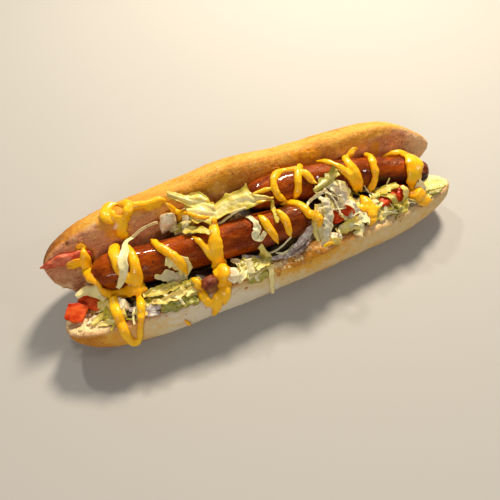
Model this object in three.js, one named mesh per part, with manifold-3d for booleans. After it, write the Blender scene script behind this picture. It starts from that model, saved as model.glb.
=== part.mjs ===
// Merguez sandwich: a long soft roll, slit along one side and opened like a book. It holds two
// merguez sausages on a bed of shredded lettuce, with tomato, onion and larger lettuce leaves.
// Millimetres, +Z up. +X runs along the roll, -Y is the open front, +Y the raised back half.
import * as THREE from "three";
import { mergeVertices } from "three/addons/utils/BufferGeometryUtils.js";
import Module from "manifold-3d";

const wasm = await Module();
wasm.setup();

// Driving sizes of the roll. Each half is a long lobe whose flat side is the cut face.
const frontTilt = THREE.MathUtils.degToRad(21.5); // the front rim stands higher than the crease
const creaseHeight = 12; // the inner fold, above the table
const lobeMiddle = 24.6; // from the crease to the middle line of each half
const rimReach = 20.4; // from that line out to the rim
const hingeReach = 25.4; // and back to the hinge
const crownHeight = 2; // the cut crumb swells this much above a flat cut
// Depth is the bread behind the cut face, and the shoulder how far back the half is widest. An
// end is blunter the higher its power, a hump raises the rim near the middle, and the right end
// droops towards the crease.
const leftPower = 4;
const frontHalf = {
  start: -125, end: 129, rightPower: 3.2, depth: 22, shoulder: 4, hump: 0, droop: 0,
};
const backHalf = {
  start: -125, end: 133.5, rightPower: 2.5, depth: 28.5, shoulder: 8, hump: 3.2, droop: 9,
};
const droopStart = 93;
const hinge = { length: 222, behindCrease: 7, halfWidth: 20, halfHeight: 12, sunk: 1 };

// Driving sizes of the filling.
const frontRadius = 10.6;
const backRadius = 10;
const leafThickness = 1.3;
const touchGap = 0.35; // clearance between pieces that touch
const breadClearance = crownHeight + touchGap;

const colours = {
  bread: 0xd8a860,
  merguez: 0x7c2a14,
  shreds: 0xc9cf8c,
  leaf: 0xa9bd58,
  tomato: 0xc4401f,
  onion: 0xe8dfcb,
};

// The two cut faces make a tray, tilted with the front half. A place in the tray is x along the
// roll, out from the crease along the front cut face, and up from it along the back cut face.
const at = (x, out, up) => new THREE.Vector3(x, -out, up);

// ---- Solids ----------------------------------------------------------------------------------
const signedPower = (value, power) => Math.sign(value) * Math.abs(value) ** power;

function signedVolume(position, index) {
  const [a, b, c] = [new THREE.Vector3(), new THREE.Vector3(), new THREE.Vector3()];
  let total = 0;
  for (let i = 0; i < index.count; i += 3) {
    a.fromBufferAttribute(position, index.getX(i));
    b.fromBufferAttribute(position, index.getX(i + 1));
    c.fromBufferAttribute(position, index.getX(i + 2));
    total += a.dot(b.cross(c)) / 6;
  }
  return total;
}

function toSolid(geometry) {
  const bare = geometry.clone();
  bare.deleteAttribute("normal");
  bare.deleteAttribute("uv");
  const merged = mergeVertices(bare, 1e-4);
  const vertProperties = new Float32Array(merged.attributes.position.array);
  const triVerts = new Uint32Array(merged.index.array);
  if (signedVolume(merged.attributes.position, merged.index) < 0) {
    triVerts.reverse(); // a mirrored shape is turned the right way out
  }
  return new wasm.Manifold(new wasm.Mesh({ numProp: 3, vertProperties, triVerts }));
}

function toGeometry(solid) {
  const { vertProperties, triVerts } = solid.getMesh();
  const geometry = new THREE.BufferGeometry();
  geometry.setAttribute("position", new THREE.BufferAttribute(vertProperties, 3));
  geometry.setIndex(new THREE.BufferAttribute(triVerts, 1));
  return geometry;
}

// Cutting can leave loose crumbs of a solid: only its largest piece stays.
function largestPiece(solid) {
  const bigger = (best, piece) => (piece.volume() > best.volume() ? piece : best);
  return solid.decompose().reduce(bigger);
}

// A ball with its poles on the X axis, each point of which is moved by shape(along, across, over):
// along runs from -1 to 1 between the poles, and across and over are the direction round them.
function shapedBall(around, rings, shape) {
  const ball = new THREE.SphereGeometry(1, around, rings);
  ball.rotateZ(-Math.PI / 2);
  const position = ball.attributes.position;
  for (let i = 0; i < position.count; i += 1) {
    const ring = Math.hypot(position.getY(i), position.getZ(i));
    const isPole = ring < 1e-6;
    const across = isPole ? 0 : position.getY(i) / ring;
    const over = isPole ? 0 : position.getZ(i) / ring;
    const moved = shape(position.getX(i), across, over, isPole ? 0 : ring);
    position.setXYZ(i, moved.x, moved.y, moved.z);
  }
  return ball;
}

// ---- Roll ------------------------------------------------------------------------------------
// The outline of a half in plan: round at its ends, blunter along the hinge than along the rim.
const taper = (x, length, power) => Math.sqrt(Math.max(0, 1 - Math.abs((2 * x) / length) ** power));

// Hand shaping leaves the roll a little uneven along its length.
const uneven = (x, phase) => 1 + 0.02 * Math.sin(x / 17 + phase) + 0.015 * Math.sin(x / 31 - phase);

function rollHalf({ start, end, rightPower, depth, shoulder, hump, droop }, phase, toPlace) {
  const crustPower = 2 / 2.4; // fuller than an ellipse
  const crumbPower = 2 / 6; // nearly flat, with rounded edges
  const length = end - start;
  return shapedBall(20, 30, (along, across, over) => {
    const fromMiddle = (along * length) / 2;
    const x = fromMiddle + (start + end) / 2;
    const rimTaper = taper(fromMiddle, length, fromMiddle < 0 ? leftPower : rightPower);
    const rim = rimReach * rimTaper + hump * Math.exp(-(((x + 12) / 24) ** 2));
    const reach = across > 0 ? rim : hingeReach * taper(fromMiddle, length, 8);
    const widest = shoulder * rimTaper ** 0.8;
    const crown = widest + crownHeight * rimTaper ** 0.2;
    const height = over < 0 ? (depth - shoulder) * rimTaper ** 0.8 : crown;
    const power = over < 0 ? crustPower : crumbPower;
    const lowered = droop * (Math.max(0, x - droopStart) / (end - droopStart)) ** 2;
    const middle = lobeMiddle - (lowered * (1 + across)) / 2;
    const outward = middle + signedPower(across, power) * reach * uneven(x, phase);
    const bulge = over < 0 ? uneven(x, phase + 2) : 1;
    return toPlace(x, outward, signedPower(over, power) * height * bulge - widest);
  });
}

function buildRoll(tilt) {
  const front = rollHalf(frontHalf, 0.4, (x, outward, height) => at(x, outward, height));
  const back = rollHalf(backHalf, 1.9, (x, outward, height) => at(x, height, outward));
  const foldPower = 2 / 2.8;
  const fold = shapedBall(18, 20, (along, across, over) => {
    const x = (along * hinge.length) / 2;
    const size = taper(x, hinge.length, 6);
    const y = hinge.behindCrease + signedPower(across, foldPower) * hinge.halfWidth * size;
    const rise = 1 + signedPower(over, foldPower) * size;
    return new THREE.Vector3(x, y, hinge.halfHeight * rise - hinge.sunk);
  });
  const opening = new THREE.BoxGeometry(300, 80, 80).translate(0, -40, 40);
  const table = new THREE.BoxGeometry(300, 200, 50).translate(0, 0, -25);
  tilt.updateMatrix();
  const halves = [front, back].map((half) => toSolid(half.applyMatrix4(tilt.matrix)));
  const foldSolid = toSolid(fold).subtract(toSolid(opening.applyMatrix4(tilt.matrix)));
  return halves[0].add(halves[1]).add(foldSolid).subtract(toSolid(table));
}

// ---- Sausages --------------------------------------------------------------------------------
// The front one lies low and crosses towards the front rim; the back one starts high against the
// back half and comes down over the front rim at its right end.
const frontLine = new THREE.CatmullRomCurve3([
  at(-103, 11.2, 20.2),
  at(-97, 12.9, 18.6),
  at(-73.6, 16.8, 16.5),
  at(-45.2, 20.8, 16.3),
  at(-23, 24, 16.3),
  at(4.1, 29.3, 17),
  at(14, 31.2, 17.6),
  at(21.5, 32.6, 18),
]);
const backLine = new THREE.CatmullRomCurve3([
  at(-9, 12.8, 31),
  at(5.6, 12.9, 30.5),
  at(20, 12.9, 29.2),
  at(45, 12.9, 26),
  at(62.7, 13.6, 22.8),
  at(80, 16.2, 19.4),
  at(91, 21, 17.2),
  at(101.5, 27, 16),
  at(107.5, 30.8, 15.8),
]);

function sausage(line, radius, phase, grow = 0) {
  const vertical = new THREE.Vector3(0, 0, 1);
  return shapedBall(12, 24, (along, across, over) => {
    const t = THREE.MathUtils.clamp((1 + along) / 2, 0, 1);
    const tangent = line.getTangentAt(t);
    const sideways = new THREE.Vector3().crossVectors(vertical, tangent).normalize();
    const upward = new THREE.Vector3().crossVectors(tangent, sideways);
    const girth = (1 - Math.abs(along) ** 10) ** 0.45 * (1 - 0.06 * t);
    const lumps = 1 + 0.018 * Math.sin(11 * t + phase) + 0.012 * Math.sin(29 * t - phase);
    const thickness = radius * girth * lumps + grow;
    return line
      .getPointAt(t)
      .addScaledVector(tangent, grow * along)
      .addScaledVector(sideways, across * thickness)
      .addScaledVector(upward, over * thickness);
  });
}

const frontSausage = (grow) => sausage(frontLine, frontRadius, 0.6, grow);
const backSausage = (grow) => sausage(backLine, backRadius, 2.4, grow);

// ---- Lettuce leaves --------------------------------------------------------------------------
// A leaf never cuts into the bread or a sausage: a point of it that would is moved clear.
const obstacles = [
  { points: frontLine.getSpacedPoints(90), radius: frontRadius },
  { points: backLine.getSpacedPoints(90), radius: backRadius },
];

function keepClear(point, clearance) {
  for (const { points, radius } of obstacles) {
    const nearer = (best, centre) => (centre.distanceTo(point) < best.distanceTo(point) ? centre : best);
    const nearest = points.reduce(nearer);
    const reach = radius * 1.05 + clearance + 0.2;
    if (nearest.distanceTo(point) < reach) {
      point.sub(nearest).setLength(reach).add(nearest);
    }
  }
  point.y = Math.min(point.y, -(crownHeight + clearance));
  point.z = Math.max(point.z, crownHeight + clearance);
  return point;
}

function leaf({ near, far, ruffle = 1.2, waves = 2.5, phase = 0 }, grow = 0) {
  const nearEdge = new THREE.CatmullRomCurve3(near.map((point) => at(...point)));
  const farEdge = new THREE.CatmullRomCurve3(far.map((point) => at(...point)));
  const half = leafThickness / 2;
  const middle = (u, v) => {
    const point = nearEdge.getPoint(u).lerp(farEdge.getPoint(u), v);
    const edge = Math.abs(2 * v - 1) ** 1.5;
    point.z += ruffle * edge * Math.sin(2 * Math.PI * (waves * u + 0.3 * v) + phase);
    return keepClear(point, half + touchGap);
  };
  const sheet = new THREE.BoxGeometry(1, 1, 1, 10, 4, 1);
  const position = sheet.attributes.position;
  for (let i = 0; i < position.count; i += 1) {
    const u = position.getX(i) + 0.5;
    const v = position.getY(i) + 0.5;
    const inset = 0.04;
    const [u0, u1] = [Math.max(0, u - inset), Math.min(1, u + inset)];
    const [v0, v1] = [Math.max(0, v - inset), Math.min(1, v + inset)];
    const alongLeaf = middle(u1, v).sub(middle(u0, v));
    const acrossLeaf = middle(u, v1).sub(middle(u, v0));
    const normal = alongLeaf.clone().cross(acrossLeaf).normalize();
    const point = middle(u, v).addScaledVector(normal, 2 * position.getZ(i) * (half + grow));
    point.addScaledVector(alongLeaf.normalize(), grow * (2 * u - 1));
    point.addScaledVector(acrossLeaf.normalize(), grow * (2 * v - 1));
    position.setXYZ(i, point.x, point.y, point.z);
  }
  return sheet;
}

const leaves = [
  { // broad leaf lying over both sausages where they pass
    near: [[-39, 13, 29.5], [-30, 23, 28.5], [-20, 24, 29.5], [-8, 24.5, 31], [2, 24.5, 32]],
    far: [[-38, 6, 30], [-29.5, 4.5, 31.5], [-20, 5.5, 38], [-7, 6.5, 41.5], [3, 16, 41.5]],
    ruffle: 0.9, phase: 0.5,
  },
  { // curled leaf leaning on the back cut face
    near: [[-47, 3, 37], [-40, 4, 35.5], [-31, 4.5, 34]],
    far: [[-50, 3, 44], [-41, 3, 44.5], [-29, 3, 39]],
    phase: 1.4,
  },
  { // leaf hanging down the front of the front sausage
    near: [[-71, 34.5, 10], [-62, 35, 8], [-53, 36, 8]],
    far: [[-66, 29.5, 20], [-57, 31.5, 19.5], [-50, 32, 17]],
    phase: 2.2,
  },
  { // green-edged leaf flat on the front cut face, near the rim
    near: [[-82, 41.5, 5.5], [-69, 43, 5.5], [-56, 43.5, 5.5]],
    far: [[-82, 34.5, 5], [-69, 37, 5.5], [-55, 38, 5]],
    phase: 0.9,
  },
  { // leaf draped over the front sausage's right end
    near: [[16.5, 43.5, 6.5], [18, 45, 16], [21.5, 42, 25.5], [25, 34.5, 29.5], [26, 30.5, 28.5]],
    far: [[26, 43, 7], [31, 42.5, 13], [35, 38.5, 19], [37.5, 34, 22.5], [36, 30.5, 25]],
    ruffle: 0.5, phase: 1.9,
  },
  { // its upper fold, over the back sausage
    near: [[28, 28, 27], [36, 27.5, 28], [50, 24, 27]],
    far: [[33, 19, 34], [44, 14, 35], [56, 13, 33]],
    phase: 2.8,
  },
  { // frilled leaf at the right end of the front cut face
    near: [[92, 42, 4.5], [103, 41, 4.5], [113, 36.5, 4.5]],
    far: [[91, 35.5, 7], [102, 34.5, 7.5], [113.5, 30, 5]],
    ruffle: 0.7, phase: 0.2,
  },
];

// ---- Tomato and onion ------------------------------------------------------------------------
// A rounded chunk, boxier as power falls. A slice of tomato has one straight, cut side.
function chunk({ centre, size, turn = [0, 0, 0], power = 0.6, cutSide = 1 }, grow = 0) {
  const turned = new THREE.Euler(...turn.map((angle) => THREE.MathUtils.degToRad(angle)));
  return shapedBall(10, 6, (along, across, over, ring) => {
    const y = signedPower(across * ring, power);
    const point = new THREE.Vector3(
      signedPower(along, power) * (size[0] / 2 + grow),
      (y < 0 ? y * cutSide : y) * (size[1] / 2 + grow),
      signedPower(over * ring, power) * (size[2] / 2 + grow),
    );
    return point.applyEuler(turned).add(at(...centre));
  });
}

const tomatoes = [
  { centre: [-112.5, 4.1, 28.6], size: [27, 4, 7.5], turn: [0, 8, 2], power: 0.75 },
  { centre: [-117.6, 15.5, 4.6], size: [8.5, 20, 5], turn: [0, 0, -14], cutSide: 0.6 },
  { centre: [-106, 17.8, 6], size: [10, 15, 6.4], turn: [0, 0, 24], cutSide: 0.6 },
  { centre: [-47.5, 40.5, 6.6], size: [8, 6, 5], turn: [0, 0, 10] },
  { centre: [41.5, 34, 12.5], size: [15, 12, 8], turn: [14, 0, 12], cutSide: 0.6 },
  { centre: [78, 33.5, 9.6], size: [20, 11, 7], turn: [14, 0, 8], cutSide: 0.6 },
];

const onions = [
  { centre: [-55, 6, 29.5], size: [9, 6, 13], turn: [0, 15, 0], power: 0.7 },
  { centre: [-93.5, 30, 6.4], size: [8, 9, 6], turn: [0, 0, 20], power: 0.5 },
  { centre: [-35.5, 41.5, 6.2], size: [9, 9, 6.5], turn: [0, 0, -20], power: 0.7 },
  { centre: [29.5, 42.6, 4.5], size: [8, 7, 5], turn: [0, 0, 10], power: 0.7 },
];

// ---- Shredded lettuce ------------------------------------------------------------------------
// One heap, out to its uneven outline: low mounds on a thin layer that covers the front cut face.
const bed = { start: -104, end: 108, thin: 2.4 };
const mounds = [
  { x: -88, out: 32, height: 3.5, spread: 13 },
  { x: -62, out: 34, height: 3.5, spread: 18 },
  { x: -50, out: 6, height: 24, spread: 17 },
  { x: -85, out: 7, height: 12, spread: 20 },
  { x: -25, out: 35, height: 4.5, spread: 16 },
  { x: -10, out: 8, height: 22, spread: 24 },
  { x: 22, out: 20, height: 15, spread: 16 },
  { x: 45, out: 10, height: 15, spread: 20 },
  { x: 42, out: 28, height: 11, spread: 15 },
  { x: 66, out: 28, height: 8, spread: 18 },
  { x: 90, out: 30, height: 4, spread: 15 },
];

function bedTop(x, out) {
  const ripple = 0.6 * Math.sin(x / 3.1 + out / 4) + 0.5 * Math.sin(x / 5.3 - out / 2.7);
  return mounds.reduce((sum, mound) => {
    const away = Math.hypot(x - mound.x, out - mound.out) / mound.spread;
    return sum + mound.height * Math.exp(-away * away * 2);
  }, bed.thin + ripple);
}

function bedOutline(x) {
  const rim = lobeMiddle + rimReach * taper(x, frontHalf.end - frontHalf.start, leftPower);
  const bare = 7 * Math.exp(-(((x - 12) / 18) ** 2)); // a bare stretch of bread along the rim
  return rim - bare - 3 + 1.2 * Math.sin(x / 6.1) + 0.8 * Math.sin(x / 3.7 + 1);
}

function shreddedBed() {
  const block = new THREE.BoxGeometry(1, 1, 1, 38, 7, 1);
  const position = block.attributes.position;
  for (let i = 0; i < position.count; i += 1) {
    const t = position.getX(i) + 0.5;
    const fromRim = position.getY(i) + 0.5;
    const x = THREE.MathUtils.lerp(bed.start, bed.end, t);
    const out = THREE.MathUtils.lerp(bedOutline(x), breadClearance, fromRim ** 0.9);
    const edge = Math.min(1, fromRim * 4 + 0.35, t * 12 + 0.35, (1 - t) * 12 + 0.35);
    const up = breadClearance + (position.getZ(i) > 0 ? bedTop(x, out) * edge : 0);
    position.setXYZ(i, x, -out, up);
  }
  return block;
}

// ---- Assembly --------------------------------------------------------------------------------
function piece(name, solid, colour, roughness) {
  const material = new THREE.MeshStandardMaterial({ color: colour, roughness, metalness: 0 });
  const mesh = new THREE.Mesh(toGeometry(solid), material);
  mesh.name = name;
  return mesh;
}

const sandwich = new THREE.Group();
const filling = new THREE.Group();
filling.rotation.x = -frontTilt;
filling.position.set(0, 0, creaseHeight);
sandwich.add(filling, piece("bun", buildRoll(filling), colours.bread, 0.8));

const fillings = [
  { name: "sausage_front", make: frontSausage, colour: colours.merguez, roughness: 0.35 },
  { name: "sausage_back", make: backSausage, colour: colours.merguez, roughness: 0.35 },
];
for (const [i, shape] of tomatoes.entries()) {
  const make = (grow) => chunk(shape, grow);
  fillings.push({ name: `tomato_${i + 1}`, make, colour: colours.tomato, roughness: 0.4 });
}
for (const [i, shape] of onions.entries()) {
  const make = (grow) => chunk(shape, grow);
  fillings.push({ name: `onion_${i + 1}`, make, colour: colours.onion, roughness: 0.5 });
}
for (const [i, shape] of leaves.entries()) {
  const make = (grow) => leaf(shape, 1.4 * grow); // thin edges need a little more room
  fillings.push({ name: `leaf_${i + 1}`, make, colour: colours.leaf, roughness: 0.55 });
}

let shreds = toSolid(shreddedBed());
for (const { name, make, colour, roughness } of fillings) {
  filling.add(piece(name, toSolid(make(0)), colour, roughness));
  shreds = shreds.subtract(toSolid(make(touchGap)));
}
filling.add(piece("lettuce_bed", largestPiece(shreds), colours.shreds, 0.6));

// The part stands on the table, with its origin under the middle of its box.
const box = new THREE.Box3().setFromObject(sandwich, true);
const middle = box.getCenter(new THREE.Vector3());
sandwich.position.set(-middle.x, -middle.y, 0);

export default sandwich;
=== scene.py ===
import math
import random

import bmesh
import bpy
import numpy as np
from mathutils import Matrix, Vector, noise
from mathutils.bvhtree import BVHTree


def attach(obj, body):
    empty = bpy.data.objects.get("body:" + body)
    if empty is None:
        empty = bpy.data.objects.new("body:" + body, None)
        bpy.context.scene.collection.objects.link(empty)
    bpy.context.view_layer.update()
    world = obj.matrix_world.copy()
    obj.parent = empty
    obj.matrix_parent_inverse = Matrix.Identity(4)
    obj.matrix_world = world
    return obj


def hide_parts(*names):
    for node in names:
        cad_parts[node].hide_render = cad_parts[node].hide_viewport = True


# Merguez sandwich. Shapes are worked out in millimetres and scaled when a mesh is made.
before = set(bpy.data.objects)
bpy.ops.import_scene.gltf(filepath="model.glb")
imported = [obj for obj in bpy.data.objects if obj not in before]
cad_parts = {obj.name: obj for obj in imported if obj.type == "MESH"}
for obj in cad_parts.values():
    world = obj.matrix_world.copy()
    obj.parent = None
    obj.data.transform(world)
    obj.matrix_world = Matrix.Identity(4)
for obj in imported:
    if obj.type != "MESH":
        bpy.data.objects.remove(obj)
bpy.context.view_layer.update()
mm = 0.001

# The two cut faces of the roll make a tray that leans back. A place in it is x along the roll,
# out from the crease along the front cut face, and up from it along the back cut face.
tray = dict(lean=21.5, creaseY=3.5, creaseZ=12.0, pourFrom=120)
lean = math.radians(tray["lean"])
crease = np.array([0, tray["creaseY"], tray["creaseZ"]])
outAxis = np.array([0, -math.cos(lean), math.sin(lean)])
upAxis = np.array([0, math.sin(lean), math.cos(lean)])
pourAxis = (outAxis + upAxis) / math.sqrt(2)  # straight out of the tray
acrossAxis = (outAxis - upAxis) / math.sqrt(2)  # from the back rim towards the front rim


def at(x, out, up):
    along = np.asarray(x, float)[..., None] * np.array([1.0, 0, 0])
    return crease + along + np.asarray(out)[..., None] * outAxis + np.asarray(up)[..., None] * upAxis


def inTray(points):
    placed = points - crease
    return placed[:, 0], placed @ outAxis, placed @ upAxis


# numbers and curves
def ease(values, low, high):
    t = np.clip((np.asarray(values, float) - low) / (high - low), 0, 1)
    return t * t * (3 - 2 * t)


def hill(*measures):
    # 1 in the middle and less away from it; a measure is (values, middle, reach)
    return np.exp(-sum(((values - middle) / reach) ** 2 for values, middle, reach in measures))


def signedPower(values, power):
    return np.sign(values) * np.abs(values) ** power


def unit(vectors):
    return vectors / np.maximum(np.linalg.norm(vectors, axis=-1, keepdims=True), 1e-9)


def ripple(points, size, octaves=3, seed=0):
    shift = Vector((seed * 7.31, seed * 3.17, seed * 5.73))
    return np.array([noise.fractal(Vector(p) / size + shift, 0.8, 2.0, octaves) for p in points])


def between(p, q, start, end, t):
    return ((end - t) * p + (t - start) * q) / (end - start)


def spline(points, spacing):
    # a smooth curve through the points, as points evenly spaced along it
    given = np.array(points, float)
    knots = np.vstack([2 * given[0] - given[1], given, 2 * given[-1] - given[-2]])
    fine = []
    for a, b, c, d in zip(knots, knots[1:], knots[2:], knots[3:]):
        gaps = [np.linalg.norm(q - p) for p, q in ((a, b), (b, c), (c, d))]
        times = np.cumsum([0] + [max(gap, 1e-6) ** 0.5 for gap in gaps])
        t = np.linspace(times[1], times[2], 16, endpoint=False)[:, None]
        ab, bc, cd = (between(p, q, *times[k:k + 2], t) for k, (p, q) in enumerate(((a, b), (b, c), (c, d))))
        abc, bcd = between(ab, bc, times[0], times[2], t), between(bc, cd, times[1], times[3], t)
        fine.append(between(abc, bcd, times[1], times[2], t))
    fine = np.vstack(fine + [given[-1:]])
    reach = np.concatenate([[0], np.cumsum(np.linalg.norm(np.diff(fine[:, :3], axis=0), axis=1))])
    count = max(3, int(round(reach[-1] / spacing)) + 1)
    steps = np.linspace(0, reach[-1], count)
    return np.stack([np.interp(steps, reach, fine[:, k]) for k in range(fine.shape[1])], axis=1)


# meshes
def readVectors(source, key):
    flat = np.empty(len(source) * 3, np.float32)
    source.foreach_get(key, flat)
    return flat.reshape(-1, 3).astype(float)


def pointsOf(mesh):
    return readVectors(mesh.vertices, "co") / mm


def normalsOf(mesh):
    return readVectors(mesh.vertex_normals, "vector")


def movePoints(mesh, points):
    mesh.vertices.foreach_set("co", (points * mm).astype(np.float32).ravel())
    mesh.update()


def markMesh(mesh, marks):
    for name, values in marks.items():
        layer = mesh.attributes.get(name) or mesh.attributes.new(name, "FLOAT", "POINT")
        layer.data.foreach_set("value", np.asarray(values, np.float32))


def addObject(name, data):
    made = bpy.data.objects.new(name, data)
    bpy.context.scene.collection.objects.link(made)
    return made


def placePiece(name, mesh, finish):
    mesh.materials.clear()
    mesh.materials.append(finish)
    mesh.shade_smooth()
    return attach(addObject(name, mesh), "root")


def settle(made, slot, *nodes):
    if nodes:
        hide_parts(*nodes)
    return made


def throughShell(mesh, work):
    shell = bmesh.new()
    shell.from_mesh(mesh)
    work(shell)
    shell.to_mesh(mesh)
    shell.free()


def newPiece(name, points, faces, finish, marks=None):
    mesh = bpy.data.meshes.new(name)
    mesh.from_pydata((np.asarray(points, float) * mm).tolist(), [], faces)
    markMesh(mesh, marks or {})
    throughShell(mesh, lambda shell: bmesh.ops.recalc_face_normals(shell, faces=shell.faces))
    return placePiece(name, mesh, finish)


def copyOfNode(node, name, finish):
    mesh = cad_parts[node].data.copy()
    throughShell(mesh, lambda shell: bmesh.ops.remove_doubles(shell, verts=shell.verts, dist=0.01 * mm))
    return placePiece(name, mesh, finish)


def addRounding(made, levels):
    rounder = made.modifiers.new("rounder", "SUBSURF")
    rounder.levels = rounder.render_levels = levels


def applyModifiers(made):
    bpy.context.view_layer.update()
    shaped = bpy.data.meshes.new_from_object(made.evaluated_get(bpy.context.evaluated_depsgraph_get()))
    made.modifiers.clear()
    made.data = shaped
    made.data.shade_smooth()


def remesh(made, voxel, rounds):
    joiner = made.modifiers.new("joined", "REMESH")
    joiner.mode = "VOXEL"
    joiner.voxel_size = voxel * mm
    softer = made.modifiers.new("softer", "SMOOTH")
    softer.iterations = rounds
    applyModifiers(made)


def loft(rings):
    # a closed skin through rings of points, ended by a fan at each end
    count, around = rings.shape[:2]
    points = np.vstack([rings.reshape(-1, 3), rings[0].mean(0), rings[-1].mean(0)])
    faces = []
    for i in range(count - 1):
        for j in range(around):
            k = (j + 1) % around
            faces.append((i * around + j, i * around + k, (i + 1) * around + k, (i + 1) * around + j))
    first, last = count * around, count * around + 1
    for j in range(around):
        k = (j + 1) % around
        faces.append((first, k, j))
        faces.append((last, (count - 1) * around + j, (count - 1) * around + k))
    return points, faces


def gather(parts):
    # several (points, faces, marks) as one
    points, faces, marks, start = [], [], {}, 0
    for somePoints, someFaces, someMarks in parts:
        points.append(somePoints)
        faces += [tuple(start + v for v in face) for face in someFaces]
        for name, values in someMarks.items():
            marks.setdefault(name, []).append(values)
        start += len(somePoints)
    return np.vstack(points), faces, {name: np.concatenate(values) for name, values in marks.items()}


def searchTree(*pieces):
    points, faces = [], []
    for made in pieces:
        start = len(points)
        points += pointsOf(made.data).tolist()
        faces += [[start + v for v in face.vertices] for face in made.data.polygons]
    return BVHTree.FromPolygons(points, faces)


def pour(tree, x, across):
    # what a straight pour into the tray meets first: place, normal, face and how far it fell
    start = crease + np.array([x, 0, 0]) + acrossAxis * across + pourAxis * tray["pourFrom"]
    return tree.ray_cast(Vector(start), Vector(-pourAxis))


def dropOnto(tree, x, across):
    place, normal, _, _ = pour(tree, x, across)
    return (None, None) if place is None else (np.array(place), np.array(normal))


# Finishes. A look has the shader's own settings, its grains as (size, detail, roughness, stretch), marks
# that a grain swings up and down, its bumps, coarse first, and its coats. The first coat is the ground.
# Each next one is (what drives it, from, to, weakest, strongest, colour) or (what drives it, colour).
sockets = dict(
    roughness="Roughness", specular="Specular IOR Level", specularTint="Specular Tint", coat="Coat Weight",
    coatRoughness="Coat Roughness", soft="Subsurface Weight", softReach="Subsurface Scale",
)


def tint(code):
    channels = [int(code[i:i + 2], 16) / 255 for i in (0, 2, 4)]
    return tuple(c / 12.92 if c <= 0.04045 else ((c + 0.055) / 1.055) ** 2.4 for c in channels) + (1,)


def startFinish(name, look):
    finish = bpy.data.materials.new(name)
    finish.use_nodes = True
    tree = finish.node_tree
    shader = tree.nodes["Principled BSDF"]
    for setting, socket in sockets.items():
        if setting in look:
            shader.inputs[socket].default_value = look[setting]
    drivers = {key: grain(tree, *given) for key, given in look.get("grains", {}).items()}
    for key, (pattern, amount) in look.get("swung", {}).items():
        drivers[key] = calc(tree, "ADD", mark(tree, key), swing(tree, drivers[pattern], amount))
    return finish, tree, shader, drivers


def grain(tree, size, detail=3.0, roughness=0.55, stretch=(1, 1, 1)):
    place = tree.nodes.new("ShaderNodeTexCoord")
    mapping = tree.nodes.new("ShaderNodeMapping")
    mapping.inputs["Scale"].default_value = [s / (size * mm) for s in stretch]
    pattern = tree.nodes.new("ShaderNodeTexNoise")
    pattern.inputs["Scale"].default_value = 1
    pattern.inputs["Detail"].default_value = detail
    pattern.inputs["Roughness"].default_value = roughness
    tree.links.new(place.outputs["Object"], mapping.inputs["Vector"])
    tree.links.new(mapping.outputs["Vector"], pattern.inputs["Vector"])
    return pattern.outputs["Fac"]


def mark(tree, name):
    reader = tree.nodes.new("ShaderNodeAttribute")
    reader.attribute_name = name
    return reader.outputs["Fac"]


def feed(tree, value, socket):
    if isinstance(value, bpy.types.NodeSocket):
        tree.links.new(value, socket)
    else:
        socket.default_value = value


def span(tree, value, low, high, start=0.0, end=1.0):
    mapper = tree.nodes.new("ShaderNodeMapRange")
    mapper.interpolation_type = "SMOOTHSTEP"
    for socket, given in zip(mapper.inputs, (value, low, high, start, end)):
        feed(tree, given, socket)
    return mapper.outputs[0]


def calc(tree, operation, first, second=0.0):
    maths = tree.nodes.new("ShaderNodeMath")
    maths.operation = operation
    feed(tree, first, maths.inputs[0])
    feed(tree, second, maths.inputs[1])
    return maths.outputs[0]


def swing(tree, pattern, amount):
    return calc(tree, "MULTIPLY", calc(tree, "SUBTRACT", pattern, 0.5), amount)


def blend(tree, amount, first, second):
    mixer = tree.nodes.new("ShaderNodeMix")
    mixer.data_type = "RGBA"
    feed(tree, amount, mixer.inputs[0])
    feed(tree, first, mixer.inputs[6])
    feed(tree, second, mixer.inputs[7])
    return mixer.outputs[2]


def relief(tree, height, strength, depth, under=None):
    bump = tree.nodes.new("ShaderNodeBump")
    bump.inputs["Strength"].default_value = strength
    bump.inputs["Distance"].default_value = depth * mm
    feed(tree, height, bump.inputs["Height"])
    if under is not None:
        feed(tree, under, bump.inputs["Normal"])
    return bump.outputs["Normal"]


def paintCoats(tree, drivers, coats, ground=None):
    colour = ground or tint(coats[0])
    for driver, *reach, code in coats if ground else coats[1:]:
        value = drivers[driver] if driver in drivers else mark(tree, driver)
        amount = span(tree, value, *reach) if reach else value
        colour = blend(tree, amount, colour, tint(code))
    return colour


def raiseBumps(tree, drivers, bumps):
    under = None
    for driver, strength, depth in bumps:
        under = relief(tree, drivers[driver], strength, depth, under)
    return under


def makeFinish(name, look):
    finish, tree, shader, drivers = startFinish(name, look)
    feed(tree, paintCoats(tree, drivers, look["coats"]), shader.inputs["Base Color"])
    feed(tree, raiseBumps(tree, drivers, look["bumps"]), shader.inputs["Normal"])
    return finish


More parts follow.
